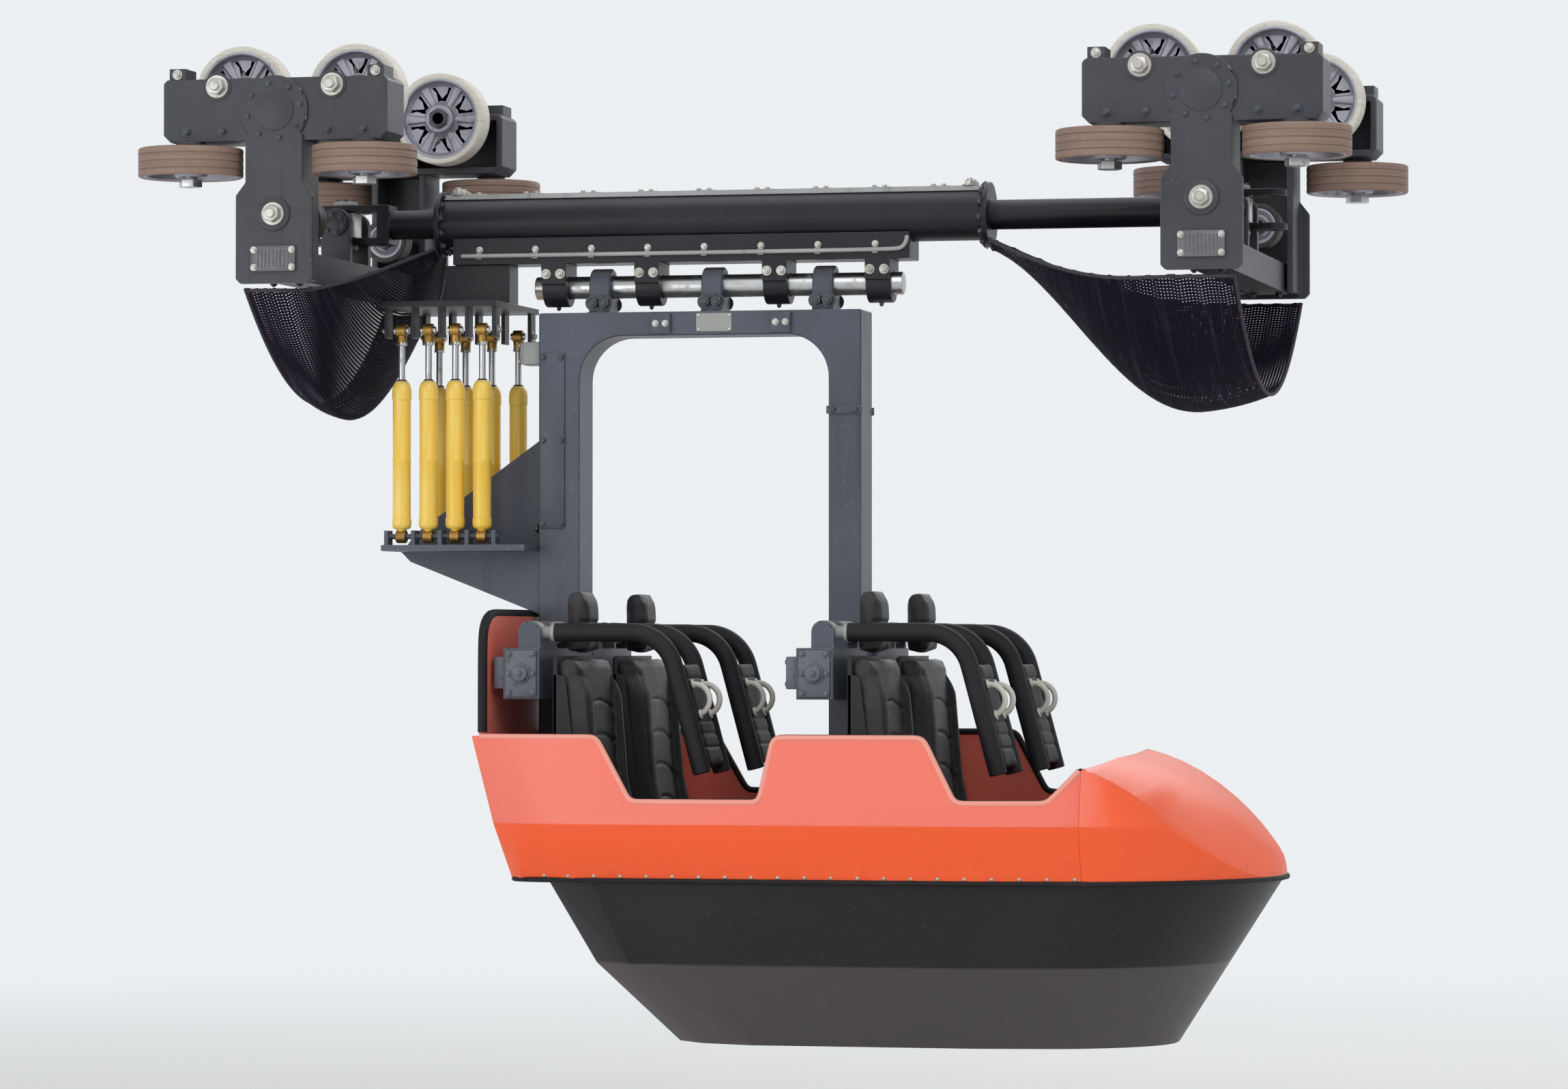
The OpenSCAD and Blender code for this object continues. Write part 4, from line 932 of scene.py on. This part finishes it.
# a hair thinner than the bearings, which it turns in
fit = Matrix.Diagonal((1, swing["shaftFit"], swing["shaftFit"], 1))
shaft.data.transform(Matrix.Translation(swingAxis) @ fit @ Matrix.Translation(-swingAxis))
finishPiece(shaft, brightSteel, "bright_steel", "swing", "swing_shaft")

bright, dark, plates, pale = [], [], [], []
for side in (1, -1):
    face, y = (0, side, 0), side * swing["legSide"]
    for x in swing["knuckles"]:
        bolts = (x - swing["knuckleBolt"], x + swing["knuckleBolt"])
        dark.append(fixed(boltM20, face, bolts, side * swing["knuckleFace"], swing["knuckleZ"]))
    for name, (x0, x1), (z0, z1), thick, edge, boltX, boltZ in swingPlates:
        blank, top = name == "blankPlate", y + side * thick
        plate = box(name, (x0, y - side * 0.001, z0), (x1, top, z1), edge, 1 if blank else 2)
        (pale if blank else plates).append(plate)
        bolts = fixed(rivet if blank else boltM8, face, boltX, top, boltZ, turn=0 if blank else 0.2)
        (bright if blank or name == "barBracket" else dark).append(bolts)
    # bolts of the damper shelf on the rear leg
    dark.append(fixed(boltM12, (-1, 0, 0), swing["shelfX"], side * swing["shelfY"], swing["shelfBolts"]))
pale.append(box("junctionBox", (-0.800, -0.060, -0.655), (-0.741, 0.020, -0.585), 0.005, 3))
pale.append(box("junctionLid", (-0.806, -0.056, -0.651), (-0.799, 0.016, -0.589), 0.002))
bright.append(fixed(boltM8, (-1, 0, 0), -0.806, (-0.049, 0.009), (-0.644, -0.596)))
for name, parts, look, slot in (("BrightBolts", bright, zincBolt, "bright_steel"),
                                ("DarkBolts", dark, darkBolt, "bright_steel"),
                                ("Plates", plates, greyPaint, "grey_frame"),
                                ("PalePlates", pale, palePaint, "grey_frame")):
    finishPiece(smooth(joined(f"swing{name}", parts)), look, slot, "swing")
print("swing frame made")


# body

body = {"gunwale": high("side_left").z, "cutout": -1.954, "peak": -1.860, "belt": low("side_left").z,
        "cowl": low("nose_cowl").x, "sternX": low("rear_panel").x, "wall": 0.020, "crisp": 17}
trim = {"step": 0.035, "edge": 0.0095, "lip": 0.0082, "coaming": 0.0085, "coamingLip": 0.0055,
        "coamingHalf": 0.640, "coamingSteps": 40, "belt": 0.008, "beltSteps": 180, "panel": 0.0145,
        "rivetZ": -2.172, "rivetX": (-0.560, 1.000), "rivetPitch": 0.078, "raysFrom": 1.5, "beltX": 0.35,
        "beltUp": 0.006, "beltOval": (1.25, 0.75), "beltRays": 3.0}
for node, name, look, slot, edge in (
        ("side_left", "bodySide_left", orangeGel, "orange_body", 0.003),
        ("side_right", "bodySide_right", orangeGel, "orange_body", 0.003),
        ("nose_cowl", "noseCowl", orangeGel, "orange_body", 0.003),
        ("rear_panel", "rearPanel", orangeGel, "orange_body", 0.006),
        ("lower_hull", "lowerHull", darkHull, "dark_hull", 0.004),
        ("floor_pan", "floorPan", chequerPlate, "aluminium_floor", 0.0)):
    piece = softCopy(node, name, edge, 2, 40, flat=edge > 0)
    finishPiece(smooth(piece, body["crisp"]), look, slot, "swing", node)

skinVerts, skinFaces = [], []
for node in ("side_left", "side_right", "nose_cowl", "lower_hull"):
    mesh = frame["nodes"][node].data
    base = len(skinVerts)
    skinVerts += [v.co.copy() for v in mesh.vertices]
    skinFaces += [[base + i for i in face.vertices] for face in mesh.polygons]
skin = BVHTree.FromPolygons(skinVerts, skinFaces)


def skinAt(start, direction):
    # the body's outer face that a ray meets, and the face's normal
    return skin.ray_cast(Vector(start), Vector(direction))[:2]


def alongLine(corners, step):
    # points every step or so along a line of corners
    points = []
    for a, b in zip(corners, corners[1:]):
        count = max(1, round(math.dist(a, b) / step))
        points += [tuple(p + (q - p) * i / count for p, q in zip(a, b)) for i in range(count)]
    return points + [corners[-1]]


gunwale, cutout = body["gunwale"], body["cutout"]
topLine = [(-0.760, gunwale), (-0.391, gunwale), (-0.287, cutout), (0.096, cutout), (0.136, gunwale),
           (0.573, gunwale), (0.668, cutout), (0.928, cutout), (1.012, body["peak"] - 0.002)]
rubber, lipHighlights, rivets = [], [], []
for side in (1, -1):
    line, lipHighlight = [], []
    for x, z in alongLine(topLine, trim["step"]):
        place, _ = skinAt((x, side * trim["raysFrom"], z - 0.011), (0, -side, 0))
        if place:
            line.append((x, place.y - side * (body["wall"] - 0.004), z - 0.001))
            # a pale lip just outside the rubber, coloured as a painted highlight along the edge
            lipHighlight.append((x, place.y - side * 0.0045, z - 0.001))
    rubber.append(tube("edgeRubber", line, trim["edge"]))
    lipHighlights.append(tube("edgeLip", lipHighlight, trim["lip"]))
    for x, z in alongLine([(x, trim["rivetZ"]) for x in trim["rivetX"]], trim["rivetPitch"]):
        rivets.append((*skinAt((x, side * trim["raysFrom"], z), (0, -side, 0)), 0))

# the coaming: the same edging across the cowl's rear edge
line, lipHighlight = [], []
for i in range(trim["coamingSteps"] + 1):
    y = trim["coamingHalf"] * (2 * i / trim["coamingSteps"] - 1)
    place, _ = skinAt((body["cowl"] + 0.006, y, -1.0), (0, 0, -1))
    if place:
        line.append((body["cowl"] - 0.003, y, place.z - 0.003))
        lipHighlight.append((body["cowl"] + 0.007, y, place.z))
rubber.append(tube("coamingRubber", line, trim["coaming"]))
lipHighlights.append(tube("coamingLip", lipHighlight, trim["coamingLip"]))

# the belt: a rubbing strip all round the joint between the upper body and the hull
belt = []
start = Vector((trim["beltX"], 0, body["belt"] + trim["beltUp"]))
long, wide = trim["beltOval"]
for i in range(trim["beltSteps"]):
    turn = 2 * math.pi * i / trim["beltSteps"]
    reach = Vector((math.cos(turn) * long, math.sin(turn) * wide, 0)).normalized()
    place, _ = skinAt(start + reach * trim["beltRays"], -reach)
    if place:
        belt.append(place)
rubber.append(tube("beltStrip", belt + belt[:1], trim["belt"]))
corner = [(0.560, gunwale + 0.01), (0.560, -1.52), (0.556, -1.47), (0.532, -1.434), (0.48, -1.411),
          (0.42, -1.410)]
panelEdge = [(-y, z) for y, z in corner] + [(0, -1.410)] + corner[::-1]
rubber.append(tube("panelRubber", [(body["sternX"] + 0.013, y, z) for y, z in panelEdge], trim["panel"]))
finishPiece(smooth(joined("bodyRubber", rubber), 50), blackRubber, "black_foam", "swing")
# the pale lips are a painted highlight along the body's edges
finishPiece(smooth(joined("bodyLipHighlights", lipHighlights), 50), lipHighlightPaint, "orange_body", "swing")
finishPiece(spread(rivet, "bodyRivets", rivets), zincBolt, "bright_steel", "swing")
print("body made")


# seats: every form is made once about its harness hinge, and copied

cloth = {"voxel": 0.006, "frames": 18, "quality": 4, "evenOut": 6}
stitch = {"depth": 0.006, "width": 0.005}


def puffed(obj, pressure, cap):
    # blows a cushion up as cloth, with no point moving further than cap
    activate(obj)
    obj.data.remesh_voxel_size = cloth["voxel"]
    bpy.ops.object.voxel_remesh()
    before = [v.co.copy() for v in obj.data.vertices]
    modifier = obj.modifiers.new("cloth", "CLOTH")
    modifier.settings.use_pressure = True
    modifier.settings.uniform_pressure_force = pressure
    modifier.settings.effector_weights.gravity = 0
    modifier.settings.quality = cloth["quality"]
    scene = bpy.context.scene
    for number in range(1, cloth["frames"] + 1):
        scene.frame_set(number)
    activate(obj)
    bpy.ops.object.modifier_apply(modifier="cloth")
    scene.frame_set(1)
    for vert, start in zip(obj.data.vertices, before):
        step = vert.co - start
        if step.length > cap:
            vert.co = start + step * (cap / step.length)
    return applyModifier(obj, "SMOOTH", factor=0.5, iterations=cloth["evenOut"])


def sewn(obj, lines, test, depth=stitch["depth"], width=stitch["width"]):
    # presses sewn channels into a cushion: lines are functions of a point that are 0 on the seam
    moves = []
    for vert in obj.data.vertices:
        if test(vert.co, vert.normal):
            near = min(abs(line(vert.co)) for line in lines)
            if near < 4 * width:
                moves.append((vert, vert.normal * (-depth * math.exp(-(near / width) ** 2))))
    for vert, step in moves:
        vert.co += step


# the outlines are (x, z) from the hinge
seat = {"half": 0.215, "backWidth": 0.200, "wing": 0.008, "bolster": 0.048, "headHalf": 0.072,
        "pressure": 4.0, "cap": 0.007, "channels": (-0.200, -0.300, -0.400, -0.500), "bow": 0.027,
        "baseSeams": (0.340, 0.430, 0.520), "headSeam": 0.030, "behindHinge": 0.030, "middle": 0.345,
        "fill": 0.85}
shellLine = [(0.112, -0.075), (0.112, -0.535), (0.150, -0.695), (0.240, -0.745), (0.560, -0.745),
             (0.636, -0.715), (0.650, -0.640), (0.648, -0.612), (0.636, -0.640), (0.624, -0.703),
             (0.556, -0.731), (0.246, -0.731), (0.162, -0.687), (0.126, -0.532), (0.126, -0.068)]
wingLine = [(0.112, -0.120), (0.150, -0.130), (0.190, -0.470), (0.270, -0.640), (0.600, -0.640),
            (0.640, -0.690), (0.560, -0.745), (0.240, -0.745), (0.150, -0.695), (0.112, -0.535)]
backLine = [(0.128, -0.085), (0.150, -0.072), (0.176, -0.078), (0.184, -0.100), (0.206, -0.435),
            (0.232, -0.590), (0.236, -0.640), (0.170, -0.680), (0.132, -0.535)]
bolsterLine = [(0.135, -0.130), (0.188, -0.125), (0.214, -0.180), (0.234, -0.430), (0.262, -0.560),
               (0.200, -0.620), (0.140, -0.540)]
baseLine = [(0.180, -0.640), (0.250, -0.612), (0.595, -0.594), (0.636, -0.612), (0.642, -0.640),
            (0.628, -0.692), (0.556, -0.724), (0.250, -0.724), (0.185, -0.690)]
headLine = [(0.120, -0.055), (0.120, 0.105), (0.132, 0.118), (0.158, 0.122), (0.172, 0.100), (0.180, -0.050)]


def bothSides(name, outline, half, thick):
    # the same outline drawn through at each side of a seat, inside its half width
    return [extruded(name, outline, y, y + thick) for y in (-half, half - thick)]


def seatForms():
    s = seat
    half, wide, inside = s["half"], s["backWidth"], s["backWidth"] - 0.050
    # the shell's sides stand up beside the cushion
    wings = bothSides("wing", wingLine, half, s["wing"])
    shell = roundEdges(joined("shell", [extruded("shell", shellLine, -half, half)] + wings), 0.003)
    bolsters = bothSides("bolster", bolsterLine, wide, s["bolster"])
    back = joined("back", [extruded("back", backLine, -wide, wide)] + bolsters)
    back = puffed(back, s["pressure"], s["cap"])
    channels = [lambda p, z=z: p.z - z + s["bow"] * (abs(p.y) / inside) ** 2 for z in s["channels"]]
    edges = [lambda p: abs(p.y) - inside]
    sewn(back, channels, lambda p, n: n.x > 0.3 and abs(p.y) < inside)
    sewn(back, edges, lambda p, n: n.x > 0.2 and p.z < -0.13)
    base = puffed(extruded("base", baseLine, -wide, wide), s["pressure"], s["cap"])
    sewn(base, [lambda p, x=x: p.x - x for x in s["baseSeams"]], lambda p, n: n.z > 0.3 and abs(p.y) < inside)
    sewn(base, edges, lambda p, n: n.z > 0.2 and p.x < 0.60)
    head = puffed(extruded("head", headLine, -s["headHalf"], s["headHalf"]), s["pressure"], s["cap"])
    sewn(head, [lambda p: p.z - s["headSeam"]], lambda p, n: n.x > 0.3)
    return (("seatShell", shell, shellPlastic, "black_foam"), ("backCushion", back, seatVinyl, "seat_vinyl"),
            ("baseCushion", base, seatVinyl, "seat_vinyl"), ("headCushion", head, seatVinyl, "seat_vinyl"))


stand = {"x": (0.410, 0.560), "y": (0.195, 0.035), "top": -0.738, "inset": 0.022, "fold": 0.008,
         "foot": 0.008, "lengthen": 0.018, "widen": 0.014, "boltX": (0.401, 0.569), "boltIn": 0.020}


def pedestal(side):
    # folded steel stand under a seat, towards the middle of the car
    s = stand
    floor = high("floor_pan").z - anchors["harness_front_left_hinge"].z
    top = floor + s["foot"]
    y0, y1 = sorted(-side * y for y in s["y"])
    post = box("pedestal", (s["x"][0], y0, floor + 0.001), (s["x"][1], y1, s["top"]))
    editFaces(post, lambda place, normal: abs(normal.x) > 0.9)
    bpy.ops.mesh.inset(thickness=s["inset"], depth=-s["fold"])
    closeEdit()
    roundEdges(post, 0.004)
    foot = box("foot", (s["x"][0] - s["lengthen"], y0 - s["widen"], floor),
               (s["x"][1] + s["lengthen"], y1 + s["widen"], top), 0.002)
    bolts = fixed(boltM12, (0, 0, 1), s["boltX"], (y0 + s["boltIn"], y1 - s["boltIn"]), top, turn=0.3)
    return smooth(joined("pedestal", [post, foot, bolts]))


# harnesses, about their hinge

harness = {"half": 0.125, "reach": 0.300, "bend": 0.130, "turn": 75, "fall": 0.330, "foam": 0.0272,
           "from": 0.062, "short": 0.004, "grip": 0.046, "gripBar": 0.0086, "gripAt": (0.019, 0.062, -0.110),
           "padHalf": 0.019, "padIn": 0.028, "padLow": -0.316, "padHigh": 0.004,
           "padSeams": (-0.045, -0.175, -0.215, -0.255), "seam": (0.005, 0.004), "rim": (0.004, 0.003),
           "pressure": 5.0, "cap": 0.006, "fill": 1.0,
           # the arm's root: start, end and radius; its collar: place, radius and thickness
           "root": (0.022, 0.075, 0.019), "collar": (0.055, 0.0275, 0.012), "gripFoot": (0.014, 0.006)}
hubLine = [(0.0165, -0.0245), (0.031, -0.0245), (0.034, -0.0215), (0.034, 0.0215), (0.031, 0.0245),
           (0.0165, 0.0245)]


def onBend(turn):
    s = harness
    return Vector((s["reach"] + s["bend"] * math.sin(turn), 0, s["bend"] * (math.cos(turn) - 1)))


endTurn = math.radians(harness["turn"])
dropFrame = Matrix.Translation(onBend(endTurn)) @ Matrix.Rotation(endTurn - math.pi / 2, 4, "Y")


def armPath():
    s = harness
    points = [Vector((s["from"] + (s["reach"] - s["from"]) * i / 5, 0, 0)) for i in range(5)]
    points += [onBend(endTurn * i / 10) for i in range(11)]
    return points + [dropFrame @ Vector((0, 0, -(s["fall"] - s["short"]) * i / 5)) for i in range(1, 6)]


def harnessForms():
    s = harness
    foam, metal, grips = [], [], []
    rootStart, rootEnd, rootRadius = s["root"]
    collarX, collarRadius, collarThick = s["collar"]
    forward = dropFrame.to_3x3() @ Vector((1, 0, 0))
    for side in (1, -1):
        y = side * s["half"]
        path = [Vector((p.x, y, p.z)) for p in armPath()]
        foam.append(tube("armFoam", path, s["foam"], 6))
        for tip, inner in ((path[0], path[1]), (path[-1], path[-2])):
            way = (tip - inner).normalized()
            foam.append(disc("foamEnd", tip - way * 0.001, way, s["foam"] - 0.004, 0.003, 0.001))
        metal.append(rod("armRoot", (rootStart, y, 0), (rootEnd, y, 0), rootRadius, 28))
        metal.append(turned("armHub", hubLine, 40))
        metal[-1].data.transform(Matrix.Translation((0, y, 0)) @ Matrix.Rotation(math.radians(90), 4, "X"))
        metal.append(disc("armCollar", (collarX, y, 0), (1, 0, 0), collarRadius, collarThick))
        # pale D-shaped grip on the pad's front
        x, out, z = s["gripAt"]
        centre = Vector((x, side * out, z))
        bar = [dropFrame @ (centre + s["grip"] * Vector((math.sin(a), 0, math.cos(a))))
               for a in [math.pi * i / 14 for i in range(15)]]
        grips.append(tube("grip", bar, s["gripBar"], 5))
        for spot in (1, -1):
            foot = dropFrame @ (centre + Vector((0.004, 0, spot * s["grip"])))
            grips.append(disc("gripFoot", foot, forward, *s["gripFoot"]))
    thick, bottom, top, wide = s["padHalf"], s["padLow"], s["padHigh"], s["half"] - s["padIn"]
    pad = extruded("pad", [(-thick, top), (-thick, bottom), (thick, bottom), (thick, top)], -wide, wide)
    pad = puffed(pad, s["pressure"], s["cap"])
    sewn(pad, [lambda p, z=z: p.z - z for z in s["padSeams"]], lambda p, n: abs(n.x) > 0.3, *s["seam"])
    sewn(pad, [lambda p: p.x], lambda p, n: abs(n.x) < 0.6, *s["rim"])
    pad.data.transform(dropFrame)
    return (("harnessFoam", smooth(joined("foam", foam), 50), foamSkin, "black_foam"),
            ("harnessMetal", smooth(joined("metal", metal)), palePaint, "grey_frame"),
            ("chestPad", pad, foamSkin, "black_foam"),
            ("harnessGrips", smooth(joined("grips", grips), 50), gripPale, "grey_frame"))


lock = {"half": 0.047, "low": -1.655, "high": -1.517, "thick": 0.007, "boss": 0.030, "pot": 0.024,
        "face": 0.540, "boltX": 0.036, "boltZ": 0.058, "valves": (0.200, 0.470), "valveWide": 0.055,
        "valveRear": -0.089, "valveFront": -0.054, "valveLow": -0.045, "valveHigh": 0.050}


def lockHousings(row):
    # a bolted cover, a round spring pot and two valve blocks on each end of a harness beam
    s, x = lock, middle(f"harness_bracket_{row}").x
    z = (s["low"] + s["high"]) / 2
    parts = []
    for out in sides.values():
        face, y = Vector((0, out, 0)), out * s["face"]
        top = y + out * s["thick"]
        parts.append(box("cover", (x - s["half"], y - out * 0.001, s["low"]), (x + s["half"], top, s["high"]),
                         0.003))
        boltX, boltZ = (x - s["boltX"], x + s["boltX"]), (z - s["boltZ"], z, z + s["boltZ"])
        parts.append(fixed(boltM8, face, boltX, top, boltZ, turn=0.3))
        parts.append(disc("boss", (x, top - out * 0.001, z), face, s["boss"], 0.007))
        parts.append(disc("springPot", (x, top + out * 0.005, z), face, s["pot"], 0.014, 0.004))
        parts.append(fixed(boltM8, face, x, top + out * 0.019, z, turn=0.1))
        for along in s["valves"]:
            parts.append(box("valve", (x + s["valveRear"], out * along, z + s["valveLow"]),
                             (x + s["valveFront"], out * (along + s["valveWide"]), z + s["valveHigh"]), 0.004))
            parts.append(fixed(boltM8, (-1, 0, 0), x + s["valveRear"], out * (along + s["valveWide"] / 2),
                               (z - 0.030, z + 0.034)))
    return smooth(joined(f"lockHousings_{row}", parts))


seats, harnesses = seatForms(), harnessForms()
padding = {"backCushion": seat["fill"], "baseCushion": seat["fill"], "headCushion": seat["fill"],
           "harnessFoam": harness["fill"], "chestPad": harness["fill"]}
for row in ends:
    seatNode, bracketNode = f"seats_{row}", f"harness_bracket_{row}"
    for side, out in sides.items():
        rides = f"harness_{row}_{side}"
        hinge = anchors[f"{rides}_hinge"]
        hingeAt = Vector((hinge.x, out * seat["middle"], hinge.z))
        seatAt = hingeAt - Vector((seat["behindHinge"], 0, 0))
        for forms, place, angle, carriedBy, node in ((seats, seatAt, 60, "swing", seatNode),
                                                     (harnesses, hingeAt, 50, rides, rides)):
            for name, form, look, slot in forms:
                piece = moved(copyOf(form, f"{name}_{row}_{side}"), place)
                finishPiece(smooth(piece, angle), look, slot, carriedBy, node)
                name in padding
        finishPiece(moved(pedestal(out), seatAt), blackPaint, "black_frame", "swing", seatNode)
    beam = weighted(softCopy(bracketNode, f"harnessBeam_{row}", 0.003, flat=False))
    finishPiece(beam, greyPaint, "black_frame", "swing", bracketNode)
    finishPiece(lockHousings(row), castGrey, "bright_steel", "swing")
drop(*[form for _, form, _, _ in seats + harnesses])
print("seats and harnesses made")


# nets slung under the carriers

net = {"across": 56, "along": 40, "thick": 0.003, "throat": 0.060, "reach": 0.640, "inset": 0.994,
       "hemTop": -0.280, "hemFall": 0.1603, "hemGap": 0.004, "hemDrop": 0.011, "sag": 0.040, "sagMore": 0.340,
       "sagLift": 0.060, "pleats": 26, "pleat": 0.0035, "steps": 200, "power": {"front": 2, "rear": 4},
       "endsIn": (0.004, 0.008), "mapWide": 1.12}
netRope = {"hem": 0.0055, "end": 0.005, "lashing": 0.0015, "ring": 0.0068, "pitch": 0.0032, "turns": 5,
           "under": 0.004, "fromMiddle": (-0.085, 0.085)}
netBlend = {"front": (0.66, 1.20), "rear": (-1.10, -1.30)}


def grown(share, speed):
    # 0 to 1 along a quarter wave, reached the sooner the higher the speed
    return math.sin(math.pi / 2 * min(1, share * speed))


def netPoint(u, v, power, pleat=False):
    # half width and height of the net a share u along it, v across from hem to hem
    s = net
    width = s["throat"] + s["reach"] * grown(u, 1.25)
    hem = s["hemTop"] - s["hemFall"] * grown(u, 1.5)
    sag = s["sag"] + s["sagMore"] * grown(u, 1.3) ** power - s["sagLift"] * u ** 6
    fold = s["pleat"] * abs(v) ** 5 * math.sin(u * s["pleats"] * 2 * math.pi) if pleat else 0
    return width * v * s["inset"], hem - sag * (1 - v * v) - s["hemGap"] - s["hemDrop"] * v ** 4 + fold


def makeNet(name, x0, x1, power):
    s = net
    clearSelection()
    bpy.ops.mesh.primitive_grid_add(x_subdivisions=s["along"], y_subdivisions=s["across"], size=2)
    sheet = named(bpy.context.object, name)
    mesh = sheet.data
    shares = {}
    for vert in mesh.vertices:
        u, v = (vert.co.x + 1) / 2, vert.co.y
        shares[vert.index] = (u, v)
        vert.co = (x0 + (x1 - x0) * u, *netPoint(u, v, power, True))
    # the map runs in metres along the sheet, so the cords keep their pitch
    runs, steps = [0.0], s["steps"]
    for i in range(steps):
        a, b = netPoint(i / steps, 0.5, power), netPoint((i + 1) / steps, 0.5, power)
        runs.append(runs[-1] + math.hypot((x1 - x0) / steps, b[1] - a[1], b[0] - a[0]))
    layer = mesh.uv_layers.active or mesh.uv_layers.new(name="UVMap")
    for loop in mesh.loops:
        u, v = shares[loop.vertex_index]
        half = netPoint(u, 1.0, power)[0] * s["mapWide"]
        layer.data[loop.index].uv = (v * half, runs[round(u * steps)])
    if x1 < x0:
        mesh.flip_normals()
    area = sum(face.area for face in mesh.polygons)
    applyModifier(sheet, "SOLIDIFY", thickness=s["thick"], offset=0)
    return smooth(sheet, 60), area, runs[-1]


for end, way in ends.items():
    node, power, r = f"net_{end}", net["power"][end], netRope
    x0, x1 = (low(node).x, high(node).x) if way > 0 else (high(node).x, low(node).x)
    x0, x1 = x0 + way * net["endsIn"][0], x1 - way * net["endsIn"][1]
    sheet, area, run = makeNet(f"catchNet_{end}", x0, x1, power)
    paint(sheet, netThread)

    def alongNet(u, v, under=0.0):
        y, z = netPoint(u, v, power)
        return x0 + (x1 - x0) * u, y, z - under

    # ropes along both hems and across both ends, with lashings beside the hangers' feet
    ropes = []
    for side in (1, -1):
        ropes.append(tube("hemRope", [alongNet(i / 24, side, r["under"]) for i in range(25)], r["hem"]))
        for reach in r["fromMiddle"]:
            x, y, z = alongNet((carrierX[end] + reach - x0) / (x1 - x0), side, r["under"])
            for step in range(r["turns"]):
                at = x + r["pitch"] * (step - (r["turns"] - 1) / 2)
                ring = [(at, y + r["ring"] * math.cos(a), z + r["ring"] * math.sin(a))
                        for a in [2 * math.pi * i / 12 for i in range(13)]]
                ropes.append(tube("lashing", ring, r["lashing"], 2))
    for share in (0.0, 1.0):
        ropes.append(tube("endRope", [alongNet(share, i / 20 - 1) for i in range(41)], r["end"]))
    hemPiece = paint(smooth(joined(f"netRopes_{end}", ropes), 50), hemRope)
    start, stop = netBlend[end]
    for piece in (sheet, hemPiece):
        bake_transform(piece)
    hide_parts(node)
    flat = (2 * (net["throat"] + net["reach"]), run)
drop(*templates)
print("nets made")


# stage, light and camera

backdrop = {"colour": shade("f2f5f8"), "floorColour": shade("f0f0ee"), "floorZ": -3.15, "floorSize": 60,
            "light": 0.62, "shown": 0.95, "fadeFrom": 3.0, "fadeTo": 13.0}
lamps = {"key": {"place": (3.5, -9.0, 6.5), "size": 8.0, "power": 420},
         "fill": {"place": (-6.0, -9.0, -1.6), "size": 6.0, "power": 260},
         "rim": {"place": (2.0, 9.0, 5.0), "size": 6.0, "power": 240}}
view = {"place": (3.82, -16.56, -1.526), "aim": (0.0, 0.0, -1.2), "lens": 130}
sceneNow = bpy.context.scene


def shownRays(start):
    # 1 for what the camera, a mirror or glass sees
    rays = [start.node("LightPath", output=f"Is {kind} Ray") for kind in ("Camera", "Glossy", "Transmission")]
    return (rays[0] + rays[1] + rays[2]).clamp()


def aimed(name, data, place):
    # a lamp or camera that looks at the middle of the view
    obj = newObject(name, data)
    obj.location = place
    obj.rotation_euler = (Vector(view["aim"]) - Vector(place)).to_track_quat("-Z", "Y").to_euler()
    return obj


s = backdrop
clearSelection()
bpy.ops.mesh.primitive_plane_add(size=s["floorSize"], location=(0, 0, s["floorZ"]))
floor = bpy.context.object
floor.name = "stageFloor"
floorLook, place = newLook("floorStage")
distance = place.node("VectorMath", {"operation": "LENGTH"}, {0: place}, "Value")
far = distance.between(s["fadeFrom"], s["fadeTo"]) * shownRays(place)
plain = place.node("BsdfPrincipled", {}, {"Base Color": s["floorColour"], "Roughness": 0.9}, "BSDF")
glow = place.node("Emission", {}, {"Color": s["colour"], "Strength": s["shown"]}, "Emission")
blended = place.node("MixShader", {}, {0: far, 1: plain, 2: glow}, "Shader")
place.node("OutputMaterial", {}, {"Surface": blended})
paint(floor, floorLook)

world = bpy.data.worlds.new("studio")
sceneNow.world = world
world.use_nodes = True
world.node_tree.nodes.clear()
sky = Wire(world.node_tree)
strength = s["light"] + shownRays(sky) * (s["shown"] - s["light"])
background = sky.node("Background", {}, {"Color": s["colour"], "Strength": strength}, "Background")
sky.node("OutputWorld", {}, {"Surface": background})

for name, lamp in lamps.items():
    light = bpy.data.lights.new(name, "AREA")
    light.energy, light.size = lamp["power"], lamp["size"]
    aimed(name, light, lamp["place"])
camera = aimed("camera", bpy.data.cameras.new("camera"), view["place"])
camera.data.lens = view["lens"]
sceneNow.camera = camera
sceneNow.view_settings.view_transform = "Standard"

print("scene made")
